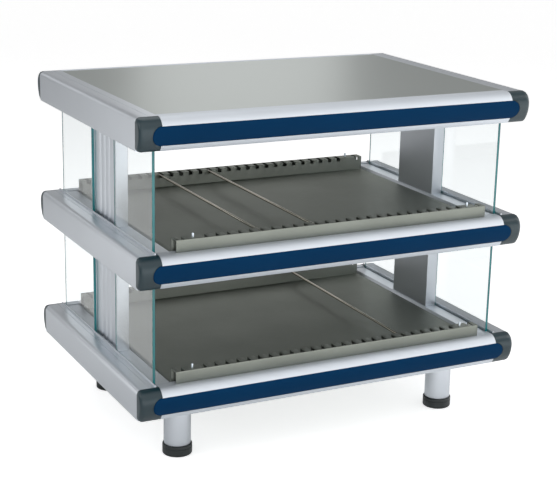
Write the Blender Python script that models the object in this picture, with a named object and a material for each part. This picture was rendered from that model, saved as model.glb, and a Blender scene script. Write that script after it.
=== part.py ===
"""Heated display case: a two-shelf countertop warmer with open front and rear.

Three equal tiers (base, middle shelf, canopy) stand one above the other. Each tier is a frame of
two bowed rails and two side rails joined by moulded corner caps. Hollow posts and glass panels
carry one tier on the next, and four tube legs with levelling feet carry the base.

Metres, +Z up. X runs across the front, the customers' side faces -Y, and the origin is on the
counter under the middle of the case.
"""
import math

import bmesh
import bpy

# Overall sizes
CASE_WIDTH = 0.916
CASE_DEPTH = 0.640
TIER_PITCH = 0.280
TIER_NAMES = ("base", "middle", "canopy")
BAY_NAMES = ("lower", "upper")
GAP = 0.0003
OVERRUN = 0.010

# Rails: one height for all four sides of a tier
RAIL_HEIGHT = 0.068
RAIL_WALL = 0.003
BOW_RAIL_DEPTH = 0.040
BOW_CREST_HEIGHT = 0.040
BOW_TOP_DEPTH = 0.024
BOW_LOW_RADIUS = 0.060
BOW_STEPS = 6

# Coloured insert in the front rail, and the flat control land in the rear rail
INSERT_LOW = 0.0113
INSERT_HEIGHT = 0.0397
INSERT_POCKET_DEPTH = 0.0025
INSERT_THICKNESS = 0.0016
INSERT_STEPS = 12
LAND_DEPTH = 0.0090

# Corner caps
CAP_WIDTH = 0.048
CAP_CORNER_RADIUS = 0.009
CAP_CORNER_STEPS = 4

# Side rail section, measured inwards from its outer face
SIDE_TOP_RADIUS = 0.008
SIDE_LOW_RADIUS = 0.004
SIDE_RADIUS_STEPS = 4
GROOVE_COUNT = 3
GROOVE_WIDTH = 0.0012
GROOVE_DEPTH = 0.0008
GROOVE_SPACING = 0.007
LIP_WIDTH = 0.0025
LIP_RISE = 0.004
CHANNEL_START = 0.043
CHANNEL_DEPTH = 0.007
LEDGE_DROP = 0.002
LEDGE_WIDTH = 0.0305
SEAT_WIDTH = 0.008

# Glass and posts
GLASS_THICKNESS = 0.006
GLASS_FRONT_INSET = 0.045
GLASS_FRONT_LAP = 0.004
GLASS_REAR_LAP = 0.010
POST_WIDTH = 0.028
POST_DEPTH = 0.150
POST_SHIFT = 0.010
POST_WALL = 0.0025
FLUTE_COUNT = 3
FLUTE_WIDTH = 0.014
FLUTE_SPACING = 0.027
FLUTE_DEPTH = 0.0022

# Shelf trays: one folded sheet with a slotted comb rail along each long edge
SHEET = 0.002
TRAY_FLOOR_DROP = 0.006
COMB_RISE = 0.026
COMB_DEPTH = 0.026
COMB_FRONT_INSET = 0.024
COMB_REAR_INSET = 0.042
SLOT_PITCH = 0.0254
SLOT_WIDTH = 0.010
SLOT_DEPTH = 0.0085
PIN_RADIUS = 0.0025
PIN_RISE = 0.010

# Divider rods, by shelf and by the slot each one lies in
ROD_RADIUS = 0.003
ROD_SLOTS = {"base": (7,), "middle": (-7, -2)}
ROD_SEGMENTS = 12

# Underside sheets, with the heating element's reflector trough over each bay
TRAY_LIP = 0.020
TROUGH_WIDTH = 0.074
TROUGH_HEIGHT = 0.026
TROUGH_TOP_WIDTH = 0.040
ELEMENT_RADIUS = 0.004
ELEMENT_DROP = 0.014
ELEMENT_END_INSET = 0.060
HANGER_WIDTH = 0.006
HANGER_PLACE_SHARES = (-0.85, 0.0, 0.85)

# Legs and levelling feet
LEG_RADIUS = 0.0293
LEG_WALL = 0.002
LEG_LENGTH = 0.103
LEG_PLUG = 0.008
LEG_SIDE_INSET = 0.127
LEG_END_INSET = 0.113
FOOT_RADIUS = 0.0322
FOOT_HEIGHT = 0.0235
FOOT_EDGE = 0.003
STEM_RADIUS = 0.006
STEM_LENGTH = 0.045
TURN_SEGMENTS = 32

# Controls in the base's rear rail, by distance from the middle, and the cord gland under the base
SWITCH_PLACE = 0.120
SWITCH_WIDTH = 0.022
SWITCH_HEIGHT = 0.030
SWITCH_BODY_DEPTH = 0.008
SWITCH_CREST = 0.0025
SWITCH_TIP = 0.0045
SWITCH_TILT_DEGREES = 8.0
KNOB_PLACES = (0.195, 0.260)
KNOB_RADIUS = 0.0125
KNOB_HEIGHT = 0.007
KNOB_TAPER = 0.0015
KNOB_SKIRT = 0.0155
KNOB_SKIRT_HEIGHT = 0.003
KNOB_STAND_OFF = 0.0005
KNOB_SEGMENTS = 24
POINTER_WIDTH = 0.002
POINTER_RISE = 0.001
SHAFT_RADIUS = 0.003
SHAFT_REACH = 0.012
GLAND_PLACE = 0.230
GLAND_REAR_INSET = 0.030
GLAND_RADIUS = 0.011
GLAND_NUT_HEIGHT = 0.005
GLAND_NECK_RADIUS = 0.0085
GLAND_LENGTH = 0.020
GLAND_TAPER = 0.0017
GLAND_BORE = 0.0045

# Derived places
LEG_TOTAL = LEG_LENGTH + FOOT_HEIGHT
HALF_WIDTH = CASE_WIDTH / 2
HALF_DEPTH = CASE_DEPTH / 2
BOW_TOP_REACH = RAIL_HEIGHT - BOW_CREST_HEIGHT
CHANNEL_WIDTH = GLASS_THICKNESS + 2 * GAP
LEDGE_START = CHANNEL_START + CHANNEL_WIDTH
LEDGE_END = LEDGE_START + LEDGE_WIDTH
SEAT_START = LEDGE_END + TRAY_FLOOR_DROP
SIDE_RAIL_WIDTH = SEAT_START + SEAT_WIDTH
DECK_HALF_WIDTH = HALF_WIDTH - SIDE_RAIL_WIDTH - GAP
DECK_HALF_DEPTH = HALF_DEPTH - BOW_RAIL_DEPTH - GAP
TRAY_HALF_WIDTH = HALF_WIDTH - SEAT_START - GAP
COMB_TOP = RAIL_HEIGHT + COMB_RISE
LAST_SLOT = int((TRAY_HALF_WIDTH - SLOT_WIDTH) / SLOT_PITCH)
PIN_SLOT = LAST_SLOT - 1
ROD_HEIGHT = COMB_TOP - SLOT_DEPTH + ROD_RADIUS + GAP


def tier_base(tier):
    """Height of a tier's underside above the counter."""
    return LEG_TOTAL + TIER_NAMES.index(tier) * TIER_PITCH


def material(name, red, green, blue, roughness, metallic=0.0, alpha=1.0):
    """Plain Principled surface in linear colour."""
    skin = bpy.data.materials.new(name)
    skin.use_nodes = True
    shader = skin.node_tree.nodes["Principled BSDF"]
    shader.inputs["Base Color"].default_value = (red, green, blue, 1.0)
    shader.inputs["Roughness"].default_value = roughness
    shader.inputs["Metallic"].default_value = metallic
    shader.inputs["Alpha"].default_value = alpha
    return skin


def finish_mesh(bm, name, skin, smooth_degrees=35.0):
    """Turns a closed bmesh into a named object with outward faces and its own surface."""
    bmesh.ops.recalc_face_normals(bm, faces=bm.faces)
    mesh = bpy.data.meshes.new(name)
    bm.to_mesh(mesh)
    bm.free()
    mesh.materials.append(skin)
    mesh.shade_smooth()
    mesh.set_sharp_from_angle(angle=math.radians(smooth_degrees))
    item = bpy.data.objects.new(name, mesh)
    bpy.context.scene.collection.objects.link(item)
    return item


def along(axis, first, second, distance):
    """A point of a section plane, carried a distance along the axis square to it."""
    if axis == "X":
        return (distance, first, second)
    if axis == "Y":
        return (first, distance, second)
    return (first, second, distance)


def loft(name, sections, skin):
    """Closed skin through sections of equal point counts, with a flat face at each end."""
    bm = bmesh.new()
    rings = [[bm.verts.new(point) for point in section] for section in sections]
    for low, high in zip(rings, rings[1:]):
        for index in range(len(low)):
            after = (index + 1) % len(low)
            bm.faces.new((low[index], low[after], high[after], high[index]))
    bm.faces.new(rings[0])
    bm.faces.new(rings[-1])
    return finish_mesh(bm, name, skin)


def prism(name, outline, axis, start, end, skin):
    """Extrudes an outline along an axis."""
    sections = [[along(axis, first, second, place) for first, second in outline] for place in (start, end)]
    return loft(name, sections, skin)


def box(name, low, high, skin):
    """Plain block between two corners."""
    outline = ((low[0], low[1]), (high[0], low[1]), (high[0], high[1]), (low[0], high[1]))
    return prism(name, outline, "Z", low[2], high[2], skin)


def turned(name, profile, skin, segments=TURN_SEGMENTS):
    """Spins (radius, height) points about Z. A radius of zero closes the end on the axis."""
    bm = bmesh.new()
    angles = [2 * math.pi * step / segments for step in range(segments)]
    rings = []
    for radius, height in profile:
        spun = angles if radius > 0 else angles[:1]
        rings.append([bm.verts.new((radius * math.cos(a), radius * math.sin(a), height)) for a in spun])
    for low, high in zip(rings, rings[1:]):
        for step in range(segments):
            after = (step + 1) % segments
            corners = [low[step % len(low)], low[after % len(low)]]
            corners += [high[after % len(high)], high[step % len(high)]]
            bm.faces.new(list(dict.fromkeys(corners)))
    return finish_mesh(bm, name, skin)


def combine(item, other, operation):
    """Cuts the other solid from the item, or joins it on, and keeps the other as a guide only."""
    change = item.modifiers.new(operation.lower() + "_" + other.name, "BOOLEAN")
    change.operation = operation
    change.solver = "EXACT"
    change.object = other
    other.hide_render = True
    other.display_type = "WIRE"


def arc(centre_first, centre_second, radius, start_degrees, end_degrees, steps):
    """Points on a circular arc in a section plane."""
    points = []
    for step in range(steps + 1):
        angle = math.radians(start_degrees + (end_degrees - start_degrees) * step / steps)
        points.append((centre_first + radius * math.cos(angle), centre_second + radius * math.sin(angle)))
    return points


def bow(height):
    """Depth of the bowed face behind its foremost line, at a height in the tier.

    A quarter ellipse rises from the crest to the flat top, and a circular arc falls below it.
    """
    rise = height - BOW_CREST_HEIGHT
    if rise > 0:
        return BOW_TOP_DEPTH * (1 - math.sqrt(max(0.0, 1 - (rise / BOW_TOP_REACH) ** 2)))
    return BOW_LOW_RADIUS - math.sqrt(BOW_LOW_RADIUS ** 2 - rise ** 2)


def bow_heights(low, high):
    """Heights along the bow, closer together where it turns fast near the top."""
    heights = []
    for step in range(BOW_STEPS + 1):
        heights.append(low + (high - low) * math.sin(math.pi / 2 * step / BOW_STEPS))
    return heights


def bow_rail_outline(land):
    """Open C section of a bowed rail as (depth, height), with an insert pocket or a flat land."""
    high = INSERT_LOW + INSERT_HEIGHT
    if land:
        pocket = [(LAND_DEPTH, INSERT_LOW), (LAND_DEPTH, high)]
    else:
        pocket = [(bow(height) + INSERT_POCKET_DEPTH, height) for height in bow_heights(INSERT_LOW, high)]
    face = [(bow(height), height) for height in (0, INSERT_LOW / 2, INSERT_LOW)]
    face += pocket
    face += [(bow(height), height) for height in bow_heights(high, RAIL_HEIGHT)]
    wall = LAND_DEPTH + RAIL_WALL
    inner_top = RAIL_HEIGHT - RAIL_WALL
    inside = [(BOW_RAIL_DEPTH, RAIL_HEIGHT), (BOW_RAIL_DEPTH, inner_top)]
    inside += [(bow(inner_top) + RAIL_WALL, inner_top), (wall, high)]
    inside += [(wall, INSERT_LOW), (bow(RAIL_WALL) + RAIL_WALL, RAIL_WALL)]
    inside += [(BOW_RAIL_DEPTH, RAIL_WALL), (BOW_RAIL_DEPTH, 0)]
    return face + inside


def placed(outline, side, tier):
    """A section drawn as (depth behind the face, height), set at the front or rear of a tier."""
    lift = tier_base(tier)
    return [(side * (HALF_DEPTH - depth), height + lift) for depth, height in outline]


def bowed_plate(name, side, tier, margin, front, back, skin):
    """Plate with half-round ends that follows the bow between two depths behind it."""
    radius = INSERT_HEIGHT / 2 - margin
    middle = INSERT_LOW + INSERT_HEIGHT / 2
    straight = HALF_WIDTH - CAP_WIDTH
    lift = tier_base(tier)
    bm = bmesh.new()
    loops = []
    for shift in (front, back):
        right = []
        left = []
        for step in range(INSERT_STEPS + 1):
            angle = math.pi * (step / INSERT_STEPS - 1 / 2)
            height = middle + radius * math.sin(angle)
            reach = straight + radius * math.cos(angle)
            place = side * (HALF_DEPTH - bow(height) - shift)
            right.append(bm.verts.new((reach, place, height + lift)))
            left.append(bm.verts.new((-reach, place, height + lift)))
        loops.append((right, left))
    for right, left in loops:
        for step in range(INSERT_STEPS):
            bm.faces.new((right[step], right[step + 1], left[step + 1], left[step]))
    (front_right, front_left), (back_right, back_left) = loops
    front_ring = front_right + front_left[::-1]
    back_ring = back_right + back_left[::-1]
    for index in range(len(front_ring)):
        after = (index + 1) % len(front_ring)
        bm.faces.new((front_ring[index], front_ring[after], back_ring[after], back_ring[index]))
    return finish_mesh(bm, name, skin)


def cap_section(inset):
    """Corner cap's outline as (depth, height), drawn in by an inset along its own normal."""
    heights = bow_heights(BOW_CREST_HEIGHT, RAIL_HEIGHT)
    heights = [0, INSERT_LOW, INSERT_LOW * 2] + heights
    points = []
    for index, height in enumerate(heights):
        rise = height - BOW_CREST_HEIGHT
        if rise > 0:
            share = min(1.0, rise / BOW_TOP_REACH)
            normal = (-math.sqrt(1 - share ** 2) * BOW_TOP_REACH, share * BOW_TOP_DEPTH)
        else:
            normal = (-math.sqrt(BOW_LOW_RADIUS ** 2 - rise ** 2), rise)
        length = math.hypot(*normal)
        depth = bow(height) - inset * normal[0] / length
        lifted = height - inset * normal[1] / length
        if index == 0:
            lifted = inset
        points.append((min(depth, BOW_TOP_DEPTH), lifted))
    points[-1] = (BOW_TOP_DEPTH, RAIL_HEIGHT - inset)
    points.append((BOW_TOP_DEPTH, inset))
    return points


def corner_cap(name, side, hand, tier, skin):
    """Moulded cap: the bow run round the corner, with a rolled outer edge."""
    sections = [placed(cap_section(0), side, tier)]
    reaches = [HALF_WIDTH - CAP_WIDTH + GAP]
    for step in range(CAP_CORNER_STEPS + 1):
        angle = math.pi / 2 * step / CAP_CORNER_STEPS
        inset = CAP_CORNER_RADIUS * (1 - math.cos(angle))
        sections.append(placed(cap_section(inset), side, tier))
        reaches.append(HALF_WIDTH - CAP_CORNER_RADIUS * (1 - math.sin(angle)))
    points = [[(hand * reach, y, z) for y, z in section] for reach, section in zip(reaches, sections)]
    return loft(name, points, skin)


def grooves(start):
    """Fine grooves along the side rail's top, as (distance inwards, height) points."""
    points = []
    for index in range(GROOVE_COUNT):
        place = start + index * GROOVE_SPACING
        points += [(place, RAIL_HEIGHT), (place, RAIL_HEIGHT - GROOVE_DEPTH)]
        points += [(place + GROOVE_WIDTH, RAIL_HEIGHT - GROOVE_DEPTH), (place + GROOVE_WIDTH, RAIL_HEIGHT)]
    return points


def side_rail_outline(tier):
    """Open C section of a side rail as (distance inwards, height).

    The base and middle rails have a glass channel behind a lip, a ledge for the post and a seat
    for the shelf tray on top. The canopy's has one seat for its top panel. The middle and canopy
    rails have a second channel underneath, for the glass of the bay below.
    """
    height = RAIL_HEIGHT
    channel_end = CHANNEL_START + CHANNEL_WIDTH
    channel_wall = CHANNEL_DEPTH + RAIL_WALL
    outer = arc(SIDE_LOW_RADIUS, SIDE_LOW_RADIUS, SIDE_LOW_RADIUS, 270, 180, SIDE_RADIUS_STEPS)
    outer += arc(SIDE_TOP_RADIUS, height - SIDE_TOP_RADIUS, SIDE_TOP_RADIUS, 180, 90, SIDE_RADIUS_STEPS)
    outer += grooves(SIDE_TOP_RADIUS + GROOVE_SPACING)
    if tier == "canopy":
        seat = height - SHEET - GAP
        top = [(CAP_WIDTH, height), (CAP_WIDTH, seat), (SIDE_RAIL_WIDTH, seat)]
        top += [(SIDE_RAIL_WIDTH, seat - RAIL_WALL), (RAIL_WALL, seat - RAIL_WALL)]
    else:
        ledge = height - LEDGE_DROP
        seat = height - TRAY_FLOOR_DROP - SHEET - GAP
        lip = CHANNEL_START - LIP_WIDTH
        top = [(lip, height), (lip, height + LIP_RISE), (CHANNEL_START, height + LIP_RISE)]
        top += [(CHANNEL_START, height - CHANNEL_DEPTH), (channel_end, height - CHANNEL_DEPTH)]
        top += [(channel_end, ledge), (LEDGE_END, ledge), (SEAT_START, seat), (SIDE_RAIL_WIDTH, seat)]
        top += [(SIDE_RAIL_WIDTH, seat - RAIL_WALL), (SEAT_START - RAIL_WALL, seat - RAIL_WALL)]
        top += [(LEDGE_END - RAIL_WALL, ledge - RAIL_WALL), (channel_end + RAIL_WALL, ledge - RAIL_WALL)]
        top += [(channel_end + RAIL_WALL, height - channel_wall), (lip, height - channel_wall)]
        top += [(lip, height - RAIL_WALL), (RAIL_WALL, height - RAIL_WALL)]
    low = [(RAIL_WALL, RAIL_WALL)]
    if tier != "base":
        low += [(CHANNEL_START - RAIL_WALL, RAIL_WALL), (CHANNEL_START - RAIL_WALL, channel_wall)]
        low += [(channel_end + RAIL_WALL, channel_wall), (channel_end + RAIL_WALL, RAIL_WALL)]
    low += [(SIDE_RAIL_WIDTH, RAIL_WALL), (SIDE_RAIL_WIDTH, 0)]
    if tier != "base":
        low += [(channel_end, 0), (channel_end, CHANNEL_DEPTH)]
        low += [(CHANNEL_START, CHANNEL_DEPTH), (CHANNEL_START, 0)]
    return outer + top + low


def side_rail(name, hand, tier, skin, guide):
    """Side rail, notched at both ends where the bowed rails run past its inner half."""
    lift = tier_base(tier)
    section = side_rail_outline(tier)
    outline = [(hand * (HALF_WIDTH - inwards), height + lift) for inwards, height in section]
    end = HALF_DEPTH - BOW_TOP_DEPTH - GAP
    rail = prism(name, outline, "Y", -end, end, skin)
    inner_edge = hand * (HALF_WIDTH - SIDE_RAIL_WIDTH - OVERRUN)
    outer_edge = hand * (HALF_WIDTH - CAP_WIDTH + GAP)
    low_x, high_x = sorted((inner_edge, outer_edge))
    notch_start = HALF_DEPTH - BOW_RAIL_DEPTH - GAP
    for side in (-1, 1):
        low_y, high_y = sorted((side * notch_start, side * HALF_DEPTH))
        low = (low_x, low_y, lift - OVERRUN)
        high = (high_x, high_y, lift + RAIL_HEIGHT + OVERRUN)
        combine(rail, box("notch_" + name + "_" + str(side + 1), low, high, guide), "DIFFERENCE")
    return rail


def sheet_outline(path, thickness):
    """Outline of a sheet folded along a path of right-angled bends, with the path on one face."""
    offsets = []
    for start, end in zip(path, path[1:]):
        run = math.hypot(end[0] - start[0], end[1] - start[1])
        offsets.append((-(end[1] - start[1]) / run * thickness, (end[0] - start[0]) / run * thickness))
    other = [(path[0][0] + offsets[0][0], path[0][1] + offsets[0][1])]
    for point, before, after in zip(path[1:-1], offsets, offsets[1:]):
        scale = thickness ** 2 / (thickness ** 2 + before[0] * after[0] + before[1] * after[1])
        other.append((point[0] + (before[0] + after[0]) * scale, point[1] + (before[1] + after[1]) * scale))
    other.append((path[-1][0] + offsets[-1][0], path[-1][1] + offsets[-1][1]))
    return list(path) + other[::-1]


def comb_slots(name, start, end, tier, guide):
    """Row of slot cutters across one comb rail."""
    lift = tier_base(tier)
    low_z = lift + COMB_TOP - SLOT_DEPTH
    high_z = lift + COMB_TOP + OVERRUN
    bm = bmesh.new()
    for slot in range(-LAST_SLOT, LAST_SLOT + 1):
        if abs(slot) == PIN_SLOT:
            continue
        low_x = slot * SLOT_PITCH - SLOT_WIDTH / 2
        high_x = low_x + SLOT_WIDTH
        corners = []
        for z in (low_z, high_z):
            for x, y in ((low_x, start), (high_x, start), (high_x, end), (low_x, end)):
                corners.append(bm.verts.new((x, y, z)))
        for indices in ((0, 1, 2, 3), (4, 5, 6, 7), (0, 1, 5, 4), (1, 2, 6, 5), (2, 3, 7, 6), (3, 0, 4, 7)):
            bm.faces.new([corners[index] for index in indices])
    return finish_mesh(bm, name, guide)


def shelf_tray(tier, skin, guide):
    """Hardcoated shelf: floor and both box-shaped comb rails folded from one sheet."""
    lift = tier_base(tier)
    floor = lift + RAIL_HEIGHT - TRAY_FLOOR_DROP
    top = lift + COMB_TOP
    front = -HALF_DEPTH + COMB_FRONT_INSET
    rear = HALF_DEPTH - COMB_REAR_INSET
    on_rail = lift + RAIL_HEIGHT + GAP
    path = [(front, on_rail), (front, top), (front + COMB_DEPTH, top), (front + COMB_DEPTH, floor)]
    path += [(rear - COMB_DEPTH, floor), (rear - COMB_DEPTH, top), (rear, top), (rear, floor)]
    inward = sheet_outline(path[::-1], SHEET)
    tray = prism("shelf_tray_" + tier, inward, "X", -TRAY_HALF_WIDTH, TRAY_HALF_WIDTH, skin)
    cuts = {
        "slots_front_": (front + SHEET + GAP, front + COMB_DEPTH + OVERRUN),
        "slots_rear_": (rear - COMB_DEPTH - OVERRUN, rear - SHEET - GAP),
    }
    for label, (start, end) in cuts.items():
        combine(tray, comb_slots(label + tier, start, end, tier, guide), "DIFFERENCE")
    for place in (front + COMB_DEPTH / 2, rear - COMB_DEPTH / 2):
        for hand in (-1, 1):
            pin = turned("pin_" + tier + str(place) + str(hand), pin_profile(), guide, ROD_SEGMENTS)
            pin.location = (hand * PIN_SLOT * SLOT_PITCH, place, top - SHEET / 2)
            combine(tray, pin, "UNION")
    return tray


def pin_profile():
    """Upright locating pin with a domed top, from inside the comb's top sheet."""
    shoulder = PIN_RISE - PIN_RADIUS
    dome = [(PIN_RADIUS * math.cos(a), shoulder + PIN_RADIUS * math.sin(a)) for a in (0.0, math.pi / 4)]
    return [(0, 0), (PIN_RADIUS, 0)] + dome + [(0, PIN_RISE)]


def divider_rod(name, tier, slot, skin):
    """Lift-out rod that lies in one pair of comb slots, with domed ends."""
    front = -HALF_DEPTH + COMB_FRONT_INSET + SHEET + 2 * GAP
    rear = HALF_DEPTH - COMB_REAR_INSET - SHEET - 2 * GAP
    half = (rear - front) / 2
    shoulder = half - ROD_RADIUS
    dome = [(ROD_RADIUS * math.cos(a), shoulder + ROD_RADIUS * math.sin(a)) for a in (0.0, math.pi / 4)]
    upper = dome + [(0, half)]
    profile = [(radius, -height) for radius, height in upper[::-1]] + upper
    rod = turned(name, profile, skin, ROD_SEGMENTS)
    rod.rotation_euler = (math.pi / 2, 0, 0)
    rod.location = (slot * SLOT_PITCH, (front + rear) / 2, tier_base(tier) + ROD_HEIGHT)
    return rod


def underside_outline(tier, trough):
    """Underside sheet flush with the rails, lapped over both bowed rails' lower flanges."""
    lift = tier_base(tier)
    edge = DECK_HALF_DEPTH
    lap = lift + RAIL_WALL + GAP
    step = [(-edge - TRAY_LIP, lap), (-edge, lap), (-edge, lift)]
    centre = []
    if trough:
        high = lift + TROUGH_HEIGHT
        centre = [(-TROUGH_WIDTH / 2, lift), (-TROUGH_TOP_WIDTH / 2, high)]
        centre += [(TROUGH_TOP_WIDTH / 2, high), (TROUGH_WIDTH / 2, lift)]
    last = [(edge, lift), (edge, lap), (edge + TRAY_LIP, lap)]
    return sheet_outline(step + centre + last, SHEET)


def underside(name, tier, trough, skin):
    """Closes a tier below. Over a bay it carries the reflector trough and its heating element."""
    sheet = prism(name, underside_outline(tier, trough), "X", -DECK_HALF_WIDTH, DECK_HALF_WIDTH, skin)
    if not trough:
        return sheet
    lift = tier_base(tier)
    reach = DECK_HALF_WIDTH - ELEMENT_END_INSET
    centre = lift + TROUGH_HEIGHT - ELEMENT_DROP
    ring = arc(0, centre, ELEMENT_RADIUS, 0, 360 - 360 / ROD_SEGMENTS, ROD_SEGMENTS - 1)
    element = prism("element_" + tier, ring, "X", -reach, reach, skin)
    combine(sheet, element, "UNION")
    for index, share in enumerate(HANGER_PLACE_SHARES):
        low = (share * reach - HANGER_WIDTH / 2, -ELEMENT_RADIUS / 2, centre)
        high = (share * reach + HANGER_WIDTH / 2, ELEMENT_RADIUS / 2, lift + TROUGH_HEIGHT + SHEET / 2)
        combine(sheet, box("hanger_" + tier + str(index), low, high, skin), "UNION")
    return sheet


def post(name, hand, tier, skin, guide):
    """Hollow post between two tiers, fluted on the face that shows between the glass panels."""
    outer = HALF_WIDTH - LEDGE_START - GAP
    inner = outer - POST_WIDTH
    front = POST_SHIFT - POST_DEPTH / 2
    rear = POST_SHIFT + POST_DEPTH / 2
    outline = [(inner, front), (outer, front)]
    for index in range(FLUTE_COUNT):
        place = POST_SHIFT + (index - (FLUTE_COUNT - 1) / 2) * FLUTE_SPACING
        outline += [(outer, place - FLUTE_WIDTH / 2), (outer - FLUTE_DEPTH, place - FLUTE_WIDTH / 4)]
        outline += [(outer - FLUTE_DEPTH, place + FLUTE_WIDTH / 4), (outer, place + FLUTE_WIDTH / 2)]
    outline += [(outer, rear), (inner, rear)]
    low = tier_base(tier) + RAIL_HEIGHT - LEDGE_DROP + GAP
    high = tier_base(tier) + TIER_PITCH - GAP
    sized = [(hand * x, y) for x, y in outline]
    tube = prism(name, sized, "Z", low, high, skin)
    walls = sorted((hand * (inner + POST_WALL), hand * (outer - FLUTE_DEPTH - POST_WALL)))
    hollow_low = (walls[0], front + POST_WALL, low - OVERRUN)
    hollow_high = (walls[1], rear - POST_WALL, high + OVERRUN)
    combine(tube, box("hollow_" + name, hollow_low, hollow_high, guide), "DIFFERENCE")
    return tube


def glass_panel(name, hand, tier, start, end, skin):
    """Upright panel standing in the rail's channel and held by the one above."""
    outer = HALF_WIDTH - CHANNEL_START - GAP
    edges = sorted((hand * outer, hand * (outer - GLASS_THICKNESS)))
    low = tier_base(tier) + RAIL_HEIGHT - CHANNEL_DEPTH + GAP
    high = tier_base(tier) + TIER_PITCH + CHANNEL_DEPTH - GAP
    return box(name, (edges[0], start, low), (edges[1], end, high), skin)


def leg(name, place, skin):
    """Tube leg, closed on top, with a bored plug in its foot end."""
    top = LEG_TOTAL - GAP
    low = FOOT_HEIGHT + GAP
    bore = STEM_RADIUS + GAP
    inside = LEG_RADIUS - LEG_WALL
    profile = [(0, top), (LEG_RADIUS, top), (LEG_RADIUS, low), (bore, low), (bore, low + LEG_PLUG)]
    profile += [(inside, low + LEG_PLUG), (inside, top - LEG_PLUG), (0, top - LEG_PLUG)]
    tube = turned(name, profile, skin)
    tube.location = (place[0], place[1], 0)
    return tube


def levelling_foot(name, place, skin):
    """Levelling foot: a wide moulded pad on a stem that turns in the leg's plug."""
    edge = FOOT_RADIUS - FOOT_EDGE
    profile = [(0, 0), (edge, 0), (FOOT_RADIUS, FOOT_EDGE), (FOOT_RADIUS, FOOT_HEIGHT - FOOT_EDGE / 2)]
    profile += [(FOOT_RADIUS - FOOT_EDGE / 2, FOOT_HEIGHT), (STEM_RADIUS, FOOT_HEIGHT)]
    profile += [(STEM_RADIUS, FOOT_HEIGHT + STEM_LENGTH), (0, FOOT_HEIGHT + STEM_LENGTH)]
    foot = turned(name, profile, skin)
    foot.location = (place[0], place[1], 0)
    return foot


def control_height():
    """Height of the controls' centre line on the base's rear rail."""
    return tier_base("base") + INSERT_LOW + INSERT_HEIGHT / 2


def rocker_switch(skin, guide, rail):
    """Rocker with two facets on an axle along X, in a window cut through the rear rail's land."""
    face = HALF_DEPTH - LAND_DEPTH
    half = SWITCH_HEIGHT / 2
    outline = [(-SWITCH_BODY_DEPTH, half - SWITCH_TIP), (SWITCH_TIP, half), (SWITCH_CREST, 0)]
    outline += [(SWITCH_TIP, -half), (-SWITCH_BODY_DEPTH, -half + SWITCH_TIP)]
    outline += arc(-SWITCH_BODY_DEPTH, 0, half - SWITCH_TIP * 2, 240, 120, BOW_STEPS)
    rocker = prism("power_rocker", outline, "X", -SWITCH_WIDTH / 2, SWITCH_WIDTH / 2, skin)
    rocker.rotation_euler = (-math.radians(SWITCH_TILT_DEGREES), 0, 0)
    rocker.location = (SWITCH_PLACE, face, control_height())
    reach = SWITCH_WIDTH / 2 + GAP
    clearance = half + SWITCH_TIP / 2
    low = (SWITCH_PLACE - reach, face - RAIL_WALL - OVERRUN, control_height() - clearance)
    high = (SWITCH_PLACE + reach, face + OVERRUN, control_height() + clearance)
    combine(rail, box("switch_window", low, high, guide), "DIFFERENCE")
    return rocker


def thermostat_knob(name, place, skin, guide, rail):
    """Skirted knob with a raised pointer, on a shaft bored through the rear rail's land."""
    face = HALF_DEPTH - LAND_DEPTH
    low = KNOB_STAND_OFF
    profile = [(0, -SHAFT_REACH), (SHAFT_RADIUS, -SHAFT_REACH), (SHAFT_RADIUS, low), (KNOB_SKIRT, low)]
    profile += [(KNOB_SKIRT, low + KNOB_SKIRT_HEIGHT), (KNOB_RADIUS, low + KNOB_SKIRT_HEIGHT)]
    profile += [(KNOB_RADIUS - KNOB_TAPER, low + KNOB_HEIGHT), (0, low + KNOB_HEIGHT)]
    knob = turned(name, profile, skin, KNOB_SEGMENTS)
    knob.rotation_euler = (-math.pi / 2, 0, 0)
    knob.location = (place, face, control_height())
    pointer_low = (place - POINTER_WIDTH / 2, face + low + KNOB_HEIGHT / 2, control_height())
    pointer_end = control_height() + KNOB_RADIUS - KNOB_TAPER * 2
    pointer_high = (place + POINTER_WIDTH / 2, face + low + KNOB_HEIGHT + POINTER_RISE, pointer_end)
    combine(knob, box("pointer_" + name, pointer_low, pointer_high, guide), "UNION")
    bore_radius = SHAFT_RADIUS + GAP
    ring = arc(place, control_height(), bore_radius, 0, 360 - 360 / ROD_SEGMENTS, ROD_SEGMENTS - 1)
    drill = prism("drill_" + name, ring, "Y", face - RAIL_WALL - OVERRUN, face + OVERRUN, guide)
    combine(rail, drill, "DIFFERENCE")
    return knob


def cord_gland(skin):
    """Empty cord gland under the base pan: a nut and a tapered neck with its bore."""
    profile = [(0, GAP), (GLAND_RADIUS, GAP), (GLAND_RADIUS, GLAND_NUT_HEIGHT)]
    profile += [(GLAND_NECK_RADIUS, GLAND_NUT_HEIGHT), (GLAND_NECK_RADIUS, GLAND_NUT_HEIGHT * 2)]
    profile += [(GLAND_NECK_RADIUS - GLAND_TAPER, GLAND_LENGTH), (GLAND_BORE, GLAND_LENGTH)]
    profile += [(GLAND_BORE, GLAND_NUT_HEIGHT), (0, GLAND_NUT_HEIGHT)]
    gland = turned("cord_gland", profile, skin, ROD_SEGMENTS)
    gland.rotation_euler = (math.pi, 0, 0)
    gland.location = (GLAND_PLACE, DECK_HALF_DEPTH - GLAND_REAR_INSET, tier_base("base"))
    return gland


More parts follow.
